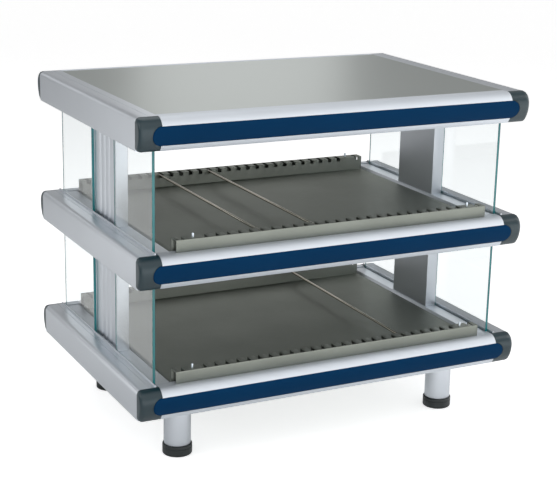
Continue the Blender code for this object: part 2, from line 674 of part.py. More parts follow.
def build_tier(tier, skins):
    """Rails, insert, caps and sheets of one tier. Gives back its rear rail."""
    straight = HALF_WIDTH - CAP_WIDTH
    front_outline = placed(bow_rail_outline(land=False), -1, tier)
    prism("front_rail_" + tier, front_outline, "X", -straight, straight, skins["aluminium"])
    rear_outline = placed(bow_rail_outline(land=True), 1, tier)
    rear = prism("rear_rail_" + tier, rear_outline, "X", -straight, straight, skins["aluminium"])
    insert_front = INSERT_POCKET_DEPTH - INSERT_THICKNESS - GAP
    insert_back = INSERT_POCKET_DEPTH - GAP
    bowed_plate("front_insert_" + tier, -1, tier, GAP, insert_front, insert_back, skins["insert"])
    pocket = bowed_plate("pocket_" + tier, -1, tier, 0, -OVERRUN, INSERT_POCKET_DEPTH, skins["guide"])
    for hand, hand_name in ((-1, "left"), (1, "right")):
        side_rail("side_rail_" + hand_name + "_" + tier, hand, tier, skins["aluminium"], skins["guide"])
        front_cap = corner_cap("cap_front_" + hand_name + "_" + tier, -1, hand, tier, skins["cap"])
        combine(front_cap, pocket, "DIFFERENCE")
        corner_cap("cap_rear_" + hand_name + "_" + tier, 1, hand, tier, skins["cap"])
    return rear


def build_bay(bay, tier, skins):
    """Posts and glass between a tier and the one above it."""
    glass_end = HALF_DEPTH - GLASS_FRONT_INSET
    front_lap = POST_SHIFT - POST_DEPTH / 2 + GLASS_FRONT_LAP
    rear_lap = POST_SHIFT + POST_DEPTH / 2 - GLASS_REAR_LAP
    for hand, hand_name in ((-1, "left"), (1, "right")):
        tag = hand_name + "_" + bay
        post("post_" + tag, hand, tier, skins["aluminium"], skins["guide"])
        glass_panel("glass_front_" + tag, hand, tier, -glass_end, front_lap, skins["glass"])
        glass_panel("glass_rear_" + tag, hand, tier, rear_lap, glass_end, skins["glass"])


def build_legs(skins):
    """Four legs with their levelling feet."""
    for side, side_name in ((-1, "front"), (1, "rear")):
        for hand, hand_name in ((-1, "left"), (1, "right")):
            place = (hand * (HALF_WIDTH - LEG_SIDE_INSET), side * (HALF_DEPTH - LEG_END_INSET))
            leg("leg_" + side_name + "_" + hand_name, place, skins["aluminium"])
            levelling_foot("foot_" + side_name + "_" + hand_name, place, skins["foot"])


def build_controls(rail, skins):
    """Power rocker, one thermostat knob for each shelf and the cord gland."""
    rocker_switch(skins["foot"], skins["guide"], rail)
    for name, place in zip(("thermostat_knob_base", "thermostat_knob_middle"), KNOB_PLACES):
        thermostat_knob(name, place, skins["foot"], skins["guide"], rail)
    cord_gland(skins["foot"])


def build_case():
    """Builds the whole case."""
    for item in list(bpy.data.objects):
        bpy.data.objects.remove(item, do_unlink=True)
    skins = {
        "aluminium": material("anodised aluminium", 0.62, 0.65, 0.70, 0.32, 1.0),
        "panel": material("satin sheet steel", 0.36, 0.38, 0.38, 0.40, 1.0),
        "insert": material("navy insert strip", 0.000, 0.030, 0.095, 0.38),
        "cap": material("moulded corner plastic", 0.040, 0.065, 0.068, 0.42),
        "hardcoat": material("hardcoated shelf sheet", 0.075, 0.085, 0.065, 0.42, 0.8),
        "glass": material("toughened glass", 0.60, 0.82, 0.80, 0.02, 0.0, 0.25),
        "chrome": material("chromed rod", 0.75, 0.75, 0.75, 0.12, 1.0),
        "foot": material("black moulded plastic", 0.012, 0.014, 0.014, 0.45),
        "guide": material("guide", 0.80, 0.10, 0.10, 0.50),
    }
    rear_rails = {tier: build_tier(tier, skins) for tier in TIER_NAMES}
    for bay, tier in zip(BAY_NAMES, TIER_NAMES):
        build_bay(bay, tier, skins)
        shelf_tray(tier, skins["hardcoat"], skins["guide"])
        for index, slot in enumerate(ROD_SLOTS[tier]):
            divider_rod("divider_rod_" + tier + "_" + str(index + 1), tier, slot, skins["chrome"])
    underside("base_pan", "base", False, skins["panel"])
    underside("reflector_middle", "middle", True, skins["panel"])
    underside("reflector_canopy", "canopy", True, skins["panel"])
    panel_top = tier_base("canopy") + RAIL_HEIGHT
    panel_edge = HALF_WIDTH - CAP_WIDTH - GAP
    panel_low = (-panel_edge, -DECK_HALF_DEPTH, panel_top - SHEET)
    box("top_panel", panel_low, (panel_edge, DECK_HALF_DEPTH, panel_top), skins["panel"])
    build_legs(skins)
    build_controls(rear_rails["base"], skins)


build_case()
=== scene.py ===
import math

import bmesh
import bpy
import numpy as np
from bpy.props import FloatProperty, FloatVectorProperty, IntProperty, PointerProperty
from mathutils import Matrix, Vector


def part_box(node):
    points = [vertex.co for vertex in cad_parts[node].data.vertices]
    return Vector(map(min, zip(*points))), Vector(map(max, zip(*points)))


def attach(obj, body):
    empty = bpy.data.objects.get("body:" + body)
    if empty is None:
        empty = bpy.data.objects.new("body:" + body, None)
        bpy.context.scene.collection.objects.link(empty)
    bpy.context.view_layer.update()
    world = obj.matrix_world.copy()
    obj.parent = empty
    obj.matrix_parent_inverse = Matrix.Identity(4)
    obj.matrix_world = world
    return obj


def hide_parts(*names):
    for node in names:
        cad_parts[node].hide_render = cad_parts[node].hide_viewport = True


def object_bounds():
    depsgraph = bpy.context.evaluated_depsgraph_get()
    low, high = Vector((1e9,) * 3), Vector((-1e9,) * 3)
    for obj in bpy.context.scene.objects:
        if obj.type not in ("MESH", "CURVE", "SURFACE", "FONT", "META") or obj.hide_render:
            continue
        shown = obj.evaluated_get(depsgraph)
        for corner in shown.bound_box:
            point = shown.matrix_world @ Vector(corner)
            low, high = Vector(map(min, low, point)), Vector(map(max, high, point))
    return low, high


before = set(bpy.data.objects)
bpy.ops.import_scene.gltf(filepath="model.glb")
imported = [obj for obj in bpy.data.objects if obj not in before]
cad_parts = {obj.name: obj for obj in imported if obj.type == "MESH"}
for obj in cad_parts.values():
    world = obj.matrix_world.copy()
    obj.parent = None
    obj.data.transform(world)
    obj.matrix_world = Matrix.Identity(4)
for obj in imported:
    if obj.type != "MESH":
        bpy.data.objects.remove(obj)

bl_info = {
    "name": "Heated display case",
    "version": (1, 0, 0),
    "blender": (4, 5, 0),
    "location": "View3D > Sidebar > Display case",
    "description": "Pieces, materials and studio for a two-shelf countertop display warmer",
    "category": "Add Mesh",
}

CASE_LOW, CASE_HIGH = [list(corner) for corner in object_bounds()]

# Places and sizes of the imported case, in metres
HALF_WIDTH = (CASE_HIGH[0] - CASE_LOW[0]) / 2
HALF_DEPTH = (CASE_HIGH[1] - CASE_LOW[1]) / 2
TIERS = {"base": 0.1265, "middle": 0.4065, "canopy": 0.6865}
BAYS = ("lower", "upper")
HANDS = {"left": -1, "right": 1}
GAP = 0.0003
SHEET = 0.002
RAIL_HEIGHT = 0.068
RAIL_WALL = 0.003
BOW_RAIL_DEPTH = 0.040
BOW_CREST_HEIGHT = 0.040
BOW_TOP_DEPTH = 0.024
BOW_LOW_RADIUS = 0.060
INSERT_LOW = 0.0113
INSERT_HEIGHT = 0.0397
INSERT_MIDDLE = INSERT_LOW + INSERT_HEIGHT / 2
INSERT_HIGH = INSERT_LOW + INSERT_HEIGHT
INSERT_RIM = 0.0004
POCKET_DEPTH = 0.0025
INSERT_THICKNESS = 0.0016
LAND_DEPTH = 0.009
LAND_BACK = LAND_DEPTH + RAIL_WALL
CAP_WIDTH = 0.048
BOW_HALF_LENGTH = HALF_WIDTH - CAP_WIDTH
CHANNEL_START = 0.043
CHANNEL_END = 0.0496
CHANNEL_DEPTH = 0.007
LIP_WIDTH = 0.0025
LIP_RISE = 0.004
LEDGE_DROP = 0.002
LEDGE_END = 0.0801
SEAT_START = 0.0861
SIDE_RAIL_WIDTH = 0.0941
POST_CORNER = 0.0015
FLUTE_CORNER = 0.0008
FLUTE_SHIFTS = (-0.027, 0.0, 0.027)
GLASS_CORNER = 0.0015
PANEL_ARRIS = 0.0004
PANEL_CORNER = 0.001
FLOOR_DROP = 0.006
COMB_TOP = 0.094
COMB_DEPTH = 0.026
TRAY_FRONT = -HALF_DEPTH + 0.024
TRAY_REAR = HALF_DEPTH - 0.042
TRAY_HALF_WIDTH = HALF_WIDTH - SEAT_START - GAP
CUT_EDGE = 0.00035
BEND_STEPS = 5
LAST_SLOT = 14
PIN_SLOT = 13
SLOT_PITCH = 0.0254
SLOT_WIDTH = 0.010
SLOT_DEPTH = 0.0085
PIN_RADIUS = 0.0025
PIN_RISE = 0.010
CONTROL_FACE = HALF_DEPTH - LAND_DEPTH
WINDOW_HALF_HEIGHT = 0.01725
BORE_RADIUS = 0.0033
ROCKER_PLACE = 0.120
ROCKER_TILT = -math.radians(8.0)
KNOB_PLACES = {"base": 0.195, "middle": 0.260}
SHARP_ANGLE = math.radians(32)

# Outlines of the turned and moulded controls, as (radius, place along the axis) in metres. The
# rocker's is (depth, height)
KNOB_PROFILE = [
    (0, -0.012), (0.003, -0.012), (0.003, 0.0005), (0.0150, 0.0005), (0.0155, 0.0010),
    (0.0155, 0.0027), (0.0147, 0.0035), (0.0124, 0.0035), (0.0120, 0.0042), (0.0112, 0.0068),
    (0.0104, 0.0075), (0, 0.0075)]
KNOB_GRIP = (0.010, 0.0034)
POINTER_LOW = (-0.001, 0.006, 0.001)
POINTER_HIGH = (0.001, 0.0085, 0.0098)
GLAND_PROFILE = [
    (0, 0), (0.0095, 0), (0.0095, -0.0047), (0.0085, -0.0047), (0.0085, -0.0097),
    (0.0068, -0.0197), (0.0045, -0.0197), (0.0045, -0.0047), (0, -0.0047)]
GLAND_NUT_RADIUS = 0.009
ROCKER_OUTLINE = [
    (-0.008, 0.0105), (0.0045, 0.015), (0.0025, 0), (0.0045, -0.015), (-0.008, -0.0105)]
ROCKER_CUTS = [0.001, 0.001, 0.004, 0.001, 0.001]
ROCKER_ENDS = ((-0.011, 0.97), (-0.0105, 1.0), (0.0105, 1.0), (0.011, 0.97))

# Soft boxes: name, place, aim, width, power in watts and, unless square, height
LAMPS = (
    ("softbox_front", (-0.5, -3.0, 3.3), (0, 0, 0.4), 4.4, 44),
    ("softbox_left", (-3.0, -0.4, 2.0), (0, 0, 0.4), 1.6, 15),
    ("softbox_right", (2.8, -1.2, 2.2), (0, 0, 0.4), 1.4, 16),
    ("softbox_top", (0.2, 0.9, 3.0), (0, 0, 0.5), 1.8, 12),
    ("strip_back_left", (-1.50, 0.9, 0.55), (-0.45, -0.2, 0.45), 0.9, 2.4, 1.1),
    ("strip_back_right", (1.15, 2.6, 1.55), (0, 0, 0.75), 0.9, 2.1, 0.8),
    ("strip_back_high", (-1.3, 2.2, 1.5), (-0.46, 0, 0.5), 0.9, 1.1, 0.6),
)
FLOOR_RADIUS = 6.0
FLOOR_RISE = 3.0
FLOOR_SEEN = 0.66
FLOOR_BRIGHT_WAY = (0.5, -1.0, 0.0)
WORLD_SEEN = 1.0
WORLD_LIGHT = 0.32
CAMERA_PLACE = (-1.426, -2.788, 1.267)
CAMERA_AZIMUTH, CAMERA_ELEVATION, CAMERA_ROLL = np.radians((27.25, 16.15, 1.30))
CAMERA_SENSOR = 36.0
CAMERA_LENS = 91.13


def srgb(code):
    """Linear red, green and blue of an sRGB hex colour."""
    share = np.array([int(code[place:place + 2], 16) for place in (1, 3, 5)]) / 255
    linear = np.where(share <= 0.04045, share / 12.92, ((share + 0.055) / 1.055) ** 2.4)
    return tuple(linear.tolist())


def opaque(colour, gain=1.0):
    """Four numbers of a colour, made lighter or darker by a gain."""
    return tuple(min(1.0, channel * gain) for channel in colour) + (1.0,)


def tint(label, description, code):
    """A colour that a user can change, with its default as sRGB hex."""
    return FloatVectorProperty(
        name=label, description=description, default=srgb(code), subtype="COLOR", size=3,
        min=0, max=1)


def length(label, description, metres):
    """A length that a user can change."""
    return FloatProperty(
        name=label, description=description, default=metres, min=0, unit="LENGTH", precision=4)


class CaseSizes(bpy.types.PropertyGroup):
    """Sizes of the finished pieces."""

    edge: length("Edge break", "Rounding of the extrusions' free edges", 0.0006)
    cap_corner: length("Cap corner radius", "Roll of a corner cap's outer edge", 0.009)
    cap_foot: length("Cap lower edge", "Rounding under a corner cap", 0.0025)
    pocket_bevel: length("Pocket bevel", "Bevel round the strip's pocket", 0.0011)
    side_top_radius: length("Side top radius", "Side rail's upper rounding", 0.012)
    side_low_radius: length("Side low radius", "Side rail's lower rounding", 0.004)
    groove_width: length("Groove width", "Width of a side rail's groove", 0.0012)
    groove_depth: length("Groove depth", "Depth of a side rail's groove", 0.0008)
    groove_place: length("Groove place", "Innermost groove from the outer face", 0.029)
    groove_spacing: length("Groove spacing", "Distance from groove to groove", 0.005)
    groove_count: IntProperty(
        name="Grooves", description="Grooves in a side rail's top", default=1, min=1, max=3)
    flute_depth: length("Flute depth", "Depth of a flute in a post", 0.0022)
    flute_width: length("Flute width", "Width of a flute in a post", 0.014)
    bend_radius: length("Bend radius", "Radius of the bends in a shelf tray", 0.0018)
    glass_arris: length("Glass arris", "Ground bevel round a glass panel", 0.0005)
    knob_flutes: IntProperty(
        name="Knob flutes", description="Finger flutes round a knob", default=18, min=6, max=40)


class CaseColours(bpy.types.PropertyGroup):
    """Colours of the finishes."""

    aluminium: tint("Aluminium", "Satin anodised extrusions", "#D0D5DB")
    strip: tint("Strip", "Coloured strip in the front rails", "#003A64")
    cap: tint("Cap", "Moulded corner caps", "#14323B")
    sheet: tint("Canopy sheet", "Brushed steel sheet of the canopy", "#B0B6B3")
    hardcoat: tint("Shelf", "Hardcoated shelf trays", "#868A83")
    glass: tint("Glass", "Body of the toughened glass", "#F4F8F9")
    glass_edge: tint("Glass edge", "Polished edge of the glass", "#2F8A8E")
    chrome: tint("Rod", "Chromed divider rods", "#B5AFA3")
    pin: tint("Pin", "Turned pins in the shelf trays", "#DCE6EE")
    black: tint("Black plastic", "Feet, knobs and switch", "#1B2324")
    pointer: tint("Pointer", "Pointers on the knobs", "#E6E6E2")
    backdrop: tint("Backdrop", "Floor and backdrop", "#F4F4F4")
    light: tint("Light", "Glow of the floor and the surroundings", "#FFFFFF")


# ---- surfaces


def grid_faces(rows, columns, wrap=False):
    """Quads between the points of a rows by columns grid, joined round the columns if wrap."""
    row, column = np.meshgrid(
        np.arange(rows - 1), np.arange(columns if wrap else columns - 1), indexing="ij")
    first, after = row * columns + column, row * columns + (column + 1) % columns
    corners = [first, after, after + columns, first + columns]
    return np.stack(corners, axis=-1).reshape(-1, 4)


def arc(centre, radius, start, end, count):
    """Points on an arc: the centre plus radius times cosine and sine of the angle in degrees."""
    angle = np.radians(np.linspace(start, end, count))
    return np.asarray(centre) + radius * np.c_[np.cos(angle), np.sin(angle)]


def parabola(start, corner, end, t):
    """Short curve that rounds a corner: (1-t)^2 start + 2t(1-t) corner + t^2 end."""
    return (1 - t) ** 2 * start + 2 * t * (1 - t) * corner + t ** 2 * end


def softened(corners, cuts):
    """Each corner of an outline becomes a parabola, for t from 0 to 1, that starts and ends at
    its cut's distance along both sides. A cut of 0 leaves a corner or an open path's end."""
    corners = np.asarray(corners, float)
    cuts = np.broadcast_to(np.asarray(cuts, float), len(corners))[:, None]
    start, end = [
        corners + side / np.linalg.norm(side, axis=1, keepdims=True) * cuts
        for side in (np.roll(corners, shift, axis=0) - corners for shift in (1, -1))]
    t = np.linspace(0, 1, BEND_STEPS)[:, None]
    outline = parabola(start[:, None], corners[:, None], end[:, None], t).reshape(-1, 2)
    return outline[np.linalg.norm(outline - np.roll(outline, 1, axis=0), axis=1) > 1e-7]


def carried(section, axis, places):
    """Rings of a flat section repeated at places along an axis square to it."""
    along = "XYZ".index(axis)
    rings = np.empty((len(places), len(section), 3))
    rings[..., along] = np.asarray(places, float)[:, None]
    rings[..., [index for index in range(3) if index != along]] = section
    return rings


def spun(profile, centre, axis="Z", segments=64, radius_share=None):
    """Rings of a profile of (radius, place along the axis) turned round an axis through centre:
    radius times the cosine and sine of the angle. radius_share multiplies the radius by angle."""
    profile = np.asarray(profile, float)
    angles = np.linspace(0, 2 * np.pi, segments, endpoint=False)
    share = radius_share(profile, angles) if radius_share else np.ones(segments)
    radius = profile[:, :1] * share
    along = "XYZ".index(axis)
    first, second = [(1, 2), (2, 0), (0, 1)][along]
    rings = np.empty((len(profile), segments, 3))
    rings[..., first] = centre[first] + radius * np.cos(angles)
    rings[..., second] = centre[second] + radius * np.sin(angles)
    rings[..., along] = centre[along] + profile[:, 1:]
    return rings


def plate_rings(low, high, axis, arris, corner):
    """Rings of a flat panel square to an axis: a rectangle with softened corners, drawn in by
    the arris at both faces."""
    along = "XYZ".index(axis)
    first, second = [index for index in range(3) if index != along]
    start, end = low[along], high[along]
    rings = []
    for place, inset in ((start, arris), (start + arris, 0), (end - arris, 0), (end, arris)):
        a, b = low[first] + inset, high[first] - inset
        c, d = low[second] + inset, high[second] - inset
        outline = softened([(a, c), (b, c), (b, d), (a, d)], corner)
        rings.append(carried(outline, axis, [place])[0])
    return np.array(rings)


def box_centre(low, high):
    """Middle of a box."""
    return tuple((np.array(low) + np.array(high)) / 2)


def linked(name, data):
    """New object in the scene."""
    made = bpy.data.objects.new(name, data)
    bpy.context.scene.collection.objects.link(made)
    return made


def piece(name, points, faces, *finishes, body="case", replaced=None, indices=None, closed=True):
    """Puts points and faces into a mesh, merges doubles, turns a closed skin outwards, and gives
    it its finishes and body. It replaces the CAD node whose name is the piece's less its
    last word, or else the one named, or none if that is empty."""
    mesh = bpy.data.meshes.new(name)
    quads = [list(map(int, face)) for face in faces]
    mesh.from_pydata(np.asarray(points).reshape(-1, 3).tolist(), [], quads)
    for finish_name in finishes:
        mesh.materials.append(finish(finish_name))
    if indices is not None:
        mesh.polygons.foreach_set("material_index", np.asarray(indices, np.int32))
    shell = bmesh.new()
    shell.from_mesh(mesh)
    bmesh.ops.remove_doubles(shell, verts=shell.verts, dist=2e-6)
    loose = [vertex for vertex in shell.verts if not vertex.link_faces]
    bmesh.ops.delete(shell, geom=loose, context="VERTS")
    if closed:
        bmesh.ops.recalc_face_normals(shell, faces=shell.faces)
    shell.to_mesh(mesh)
    shell.free()
    mesh.shade_smooth()
    mesh.set_sharp_from_angle(angle=SHARP_ANGLE)
    made = linked(name, mesh)
    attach(made, body)
    if replaced != "":
        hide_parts(replaced or name.rpartition("_")[0])
    return made


def end_faces(rows, columns):
    """One flat face over the first ring and one over the last."""
    return [list(range(columns))[::-1], list(range((rows - 1) * columns, rows * columns))]


def ringed(name, rings, *finishes, **details):
    """Closed skin over rings of points. Its ends have the first finish, its sides the last."""
    rows, columns = rings.shape[:2]
    sides = list(grid_faces(rows, columns, wrap=True))
    details["indices"] = [len(finishes) - 1] * len(sides) + [0, 0]
    return piece(name, rings, sides + end_faces(rows, columns), *finishes, **details)


def bow(height, inset=0.0):
    """Depth of the bowed face behind its foremost line. Above the crest it is a quarter ellipse
    that ends level on the flat top, below it an arc. An inset draws both in towards their
    centres."""
    rise = np.asarray(height, float) - BOW_CREST_HEIGHT
    reach = RAIL_HEIGHT - BOW_CREST_HEIGHT - inset
    share = np.clip(rise / reach, 0, 1)
    upper = BOW_TOP_DEPTH - (BOW_TOP_DEPTH - inset) * np.sqrt(1 - share ** 2)
    lower = BOW_LOW_RADIUS - np.sqrt((BOW_LOW_RADIUS - inset) ** 2 - np.minimum(rise, 0) ** 2)
    return np.where(rise > 0, upper, lower)


def bow_line(low, high, count, behind=0.0):
    """Points (depth, height) on the bow between two heights, closer together near the upper."""
    heights = low + (high - low) * np.sin(np.pi / 2 * np.linspace(0, 1, count))
    return np.c_[bow(heights) + behind, heights]


# ---- materials


def wire(tree, made, inputs):
    """Sets each socket of a node to a value, or links it to an output or to a node's first one."""
    for socket, value in inputs.items():
        if isinstance(value, bpy.types.Node):
            value = next(output for output in value.outputs if output.enabled)
        if isinstance(value, bpy.types.NodeSocket):
            tree.links.new(value, made.inputs[socket])
        else:
            made.inputs[socket].default_value = value


def node(tree, kind, inputs=None, **settings):
    """Adds a shader node. settings are its properties, inputs go to wire."""
    made = tree.nodes.new("ShaderNode" + kind)
    for key, value in settings.items():
        setattr(made, key, value)
    wire(tree, made, inputs or {})
    return made


def surface(name, colour, grain, cloud=None, tones=None, polish=None, relief=None, **shading):
    """Material whose Principled shader follows one or two noises in the piece's own metres.
    grain and cloud are each a scale, or three that draw the noise out along an axis, and a
    detail. tones are the gains of the colour that the cloud, or else the grain, goes between,
    polish the roughnesses that the grain goes between, relief the strength and distance of the
    grain's bump, and shading the shader's other values."""
    skin = bpy.data.materials.new(name)
    skin.use_nodes = True
    tree = skin.node_tree
    metres = node(tree, "TexCoord").outputs["Object"]
    noises = []
    for scale, detail in (grain, cloud) if cloud else (grain,):
        place = metres
        if isinstance(scale, tuple):
            place, scale = node(tree, "Mapping", {"Vector": metres, "Scale": scale}), 1.0
        inputs = {"Vector": place, "Scale": scale, "Detail": detail}
        noises.append(node(tree, "TexNoise", inputs))
    values = {key.replace("_", " "): value for key, value in shading.items()}
    values["Base Color"] = opaque(colour)
    if tones:
        one, two = [opaque(colour, gain) for gain in tones]
        inputs = {"Factor": noises[-1], "A": one, "B": two}
        values["Base Color"] = node(tree, "Mix", inputs, data_type="RGBA")
    if polish:
        inputs = {"Value": noises[0], "To Min": polish[0], "To Max": polish[1]}
        values["Roughness"] = node(tree, "MapRange", inputs)
    if relief:
        inputs = {"Height": noises[0], "Strength": relief[0], "Distance": relief[1]}
        values["Normal"] = node(tree, "Bump", inputs)
    wire(tree, tree.nodes["Principled BSDF"], values)
    return skin


def extruded_aluminium(name, colour, stretch, roughness):
    """Satin anodised aluminium extrusion: a cool silver metal whose fine die lines, really
    0.2 mm apart and drawn 1.6 mm apart so that they show, run along the bar and stretch its
    highlights."""
    return surface(
        name, colour, (stretch, 3.0), cloud=(9.0, 2.0), tones=(0.97, 1.02),
        polish=(roughness - 0.008, roughness + 0.012), relief=(0.01, 0.00002), Metallic=1.0)


def moulded_plastic(name, colour, roughness, grain):
    """Moulded ABS or nylon with a fine spark-eroded grain: a soft sheen broken by grains of the
    given size in metres, and a slightly uneven tone from the pigment."""
    return surface(
        name, colour, (1 / grain, 2.0), cloud=(24.0, 2.0), tones=(0.88, 1.10),
        polish=(roughness - 0.04, roughness + 0.08), relief=(0.12, 0.0002), IOR=1.54)


def satin_strip(name, colour):
    """Satin rigid PVC strip: deep even colour under a soft sheen, with the faint draw waves,
    about 12 mm long, of a plastic pulled through a die."""
    return surface(
        name, colour, ((80.0, 300.0, 300.0), 2.0), cloud=(6.0, 1.0), tones=(0.90, 1.12),
        relief=(0.05, 0.0002), Roughness=0.55, Specular_IOR_Level=0.08)


def hardcoat_sheet(name, colour):
    """Hardcoat anodised aluminium sheet: a dark olive grey metal with a dull satin sheen, rolled
    with a grain along the sheet, really 0.1 mm and drawn 1.2 mm wide, and clouded by wear and
    warmth."""
    return surface(
        name, colour, ((60.0, 800.0, 800.0), 3.0), cloud=(7.0, 4.0), tones=(0.82, 1.14),
        polish=(0.48, 0.60), relief=(0.08, 0.0002), Metallic=1.0)


def brushed_steel(name, colour, roughness):
    """Brushed stainless sheet: neutral grey metal with short brush lines along its length,
    really 0.05 mm and drawn 1 mm wide, which blur reflections across them."""
    return surface(
        name, colour, ((14.0, 900.0, 900.0), 4.0), tones=(0.90, 1.06),
        polish=(roughness - 0.05, roughness + 0.07), relief=(0.06, 0.0002), Metallic=1.0)


def toughened_glass(name, colour):
    """Toughened float glass: clear, faintly green, with rollers' waves about 60 mm long that
    bend reflections a little. Its shadow is light, as that of clear glass is."""
    skin = surface(
        name, colour, (16.0, 1.0), relief=(0.02, 0.0005), Roughness=0.0, IOR=1.52,
        Transmission_Weight=1.0)
    tree = skin.node_tree
    ray = node(tree, "LightPath").outputs
    inputs = {0: ray["Is Shadow Ray"], 1: ray["Is Diffuse Ray"]}
    dim = node(tree, "Math", inputs, operation="MAXIMUM")
    shade = node(tree, "BsdfTransparent", {"Color": opaque(colour, 0.92)})
    both = node(tree, "MixShader", {0: dim, 1: tree.nodes["Principled BSDF"], 2: shade})
    wire(tree, tree.nodes["Material Output"], {"Surface": both})
    return skin


def glass_edge(name, colour):
    """Ground and polished glass edge: the body colour of the glass seen along the pane, a deep
    blue green under a wet gloss, with painted light: a noise makes it lighter and darker in
    patches, standing in for the light that comes through the pane."""
    # the tones are painted light: the noise paints lighter and darker patches on the edge
    return surface(name, colour, (11.0, 2.0), tones=(0.62, 1.45), Roughness=0.12, IOR=1.52)


def chromed_steel(name, colour):
    """Chromed steel rod: near mirror, with a slight drawn line along the rod every 1 mm or so."""
    return surface(
        name, colour, ((900.0, 30.0, 900.0), 2.0), polish=(0.08, 0.20), Metallic=1.0)


def turned_steel(name, colour):
    """Turned stainless pin: bright metal whose turning rings, really 0.1 mm and drawn 0.8 mm
    apart, spread its highlight over the whole width."""
    return surface(
        name, colour, ((60.0, 60.0, 1200.0), 2.0), polish=(0.34, 0.50), Metallic=1.0)


# Slot, maker, colour and the maker's other values of each finish
FINISHES = {
    "anodised_aluminium_across": (
        "aluminium", extruded_aluminium, "aluminium", (8.0, 620.0, 620.0), 0.60),
    "anodised_aluminium_deep": (
        "aluminium", extruded_aluminium, "aluminium", (620.0, 8.0, 620.0), 0.36),
    "anodised_aluminium_upright": (
        "aluminium", extruded_aluminium, "aluminium", (620.0, 620.0, 8.0), 0.42),
    "moulded_abs_cap": ("cap", moulded_plastic, "cap", 0.30, 0.0011),
    "moulded_nylon_black": ("black_plastic", moulded_plastic, "black", 0.44, 0.0012),
    "moulded_white_pointer": ("black_plastic", moulded_plastic, "pointer", 0.35, 0.0012),
    "satin_pvc_strip": ("insert", satin_strip, "strip"),
    "hardcoat_aluminium_sheet": ("hardcoat", hardcoat_sheet, "hardcoat"),
    "brushed_stainless_sheet": ("panel", brushed_steel, "sheet", 0.34),
    "toughened_float_glass": ("glass", toughened_glass, "glass"),
    "polished_glass_edge": ("glass", glass_edge, "glass_edge"),
    "chromed_steel_rod": ("chrome", chromed_steel, "chrome"),
    "turned_steel_pin": ("chrome", turned_steel, "pin"),
}


def finish(name):
    """The named finish, made when it is first asked for."""
    make, colour, *values = FINISHES[name][1:]
    colour = getattr(bpy.context.scene.case_colours, colour)
    return bpy.data.materials.get(name) or make(name, colour, *values)


# ---- rails, strips and caps


def bowed_section(edge, land):
    """Closed C section of a bowed rail as (depth, height): the bow with a pocket for the strip,
    or a flat land for the controls, and a wall of even thickness behind."""
    lower = bow_line(edge, INSERT_LOW - edge / 2, 7)
    nose = softened([(bow(0.0) + 0.01, 0), (bow(0.0), 0), lower[0]], [0, edge, 0])[1:-1]
    if land:
        pocket = [(LAND_DEPTH, INSERT_LOW), (LAND_DEPTH, INSERT_HIGH)]
    else:
        pocket = bow_line(INSERT_LOW, INSERT_HIGH, 22, POCKET_DEPTH)
    upper = bow_line(INSERT_HIGH + edge / 2, RAIL_HEIGHT, 26)
    rims = [[(bow(height) + edge / 2, height)] for height in (INSERT_LOW, INSERT_HIGH)]
    inner_top = RAIL_HEIGHT - RAIL_WALL
    inside = [
        (BOW_RAIL_DEPTH, RAIL_HEIGHT), (BOW_RAIL_DEPTH, inner_top),
        (bow(inner_top) + RAIL_WALL, inner_top), (LAND_BACK, INSERT_HIGH), (LAND_BACK, INSERT_LOW),
        (bow(RAIL_WALL) + RAIL_WALL, RAIL_WALL), (BOW_RAIL_DEPTH, RAIL_WALL), (BOW_RAIL_DEPTH, 0)]
    return np.vstack([nose, lower, rims[0], pocket, rims[1], upper, inside])


def side_section(sizes, tier):
    """Closed C section of a side rail as (distance inwards, height), with rounded outer edges,
    the grooves in its top, the glass channels and the seats."""
    height, wall, edge = RAIL_HEIGHT, RAIL_WALL, sizes.edge
    near, far, wide = CHANNEL_START, CHANNEL_END, SIDE_RAIL_WIDTH
    low_r, top_r = sizes.side_low_radius, sizes.side_top_radius
    outer = arc((low_r, low_r), low_r, 270, 180, 9)
    upper = arc((top_r, height - top_r), top_r, 180, 90, 9)
    starts = sizes.groove_place - sizes.groove_spacing * np.arange(sizes.groove_count)[::-1]
    shape = np.array([(0, 0), (0.15, 1), (0.85, 1), (1, 0)])
    grooves = np.c_[
        (starts[:, None] + shape[:, 0] * sizes.groove_width).ravel(),
        np.tile(height - shape[:, 1] * sizes.groove_depth, sizes.groove_count)]
    if tier == "canopy":
        seat = height - SHEET - GAP
        top = [
            (CAP_WIDTH, height), (CAP_WIDTH, seat), (wide, seat), (wide, seat - wall),
            (wall, seat - wall)]
    else:
        ledge, seat = height - LEDGE_DROP, height - FLOOR_DROP - SHEET - GAP
        lip, floor = near - LIP_WIDTH, height - CHANNEL_DEPTH
        crest = (lip + LIP_WIDTH / 2, height + LIP_RISE - LIP_WIDTH / 2)
        top = [
            (lip, height), *arc(crest, LIP_WIDTH / 2, 180, 0, 9), (near, floor), (far, floor),
            (far, ledge - edge), (far + edge, ledge), (LEDGE_END, ledge), (SEAT_START, seat),
            (wide, seat), (wide, seat - wall), (SEAT_START - wall, seat - wall),
            (LEDGE_END - wall, ledge - wall), (far + wall, ledge - wall),
            (far + wall, floor - wall), (lip, floor - wall), (lip, height - wall),
            (wall, height - wall)]
    within, below = [], []
    if tier != "base":
        deep = CHANNEL_DEPTH
        within = [(near - wall, wall), (near - wall, deep + wall), (far + wall, deep + wall),
                  (far + wall, wall)]
        below = [(far, 0), (far, deep), (near, deep), (near, 0)]
    low = [(wall, wall), *within, (wide, wall), (wide, 0), *below]
    return np.vstack([outer, upper, grooves, top, low])


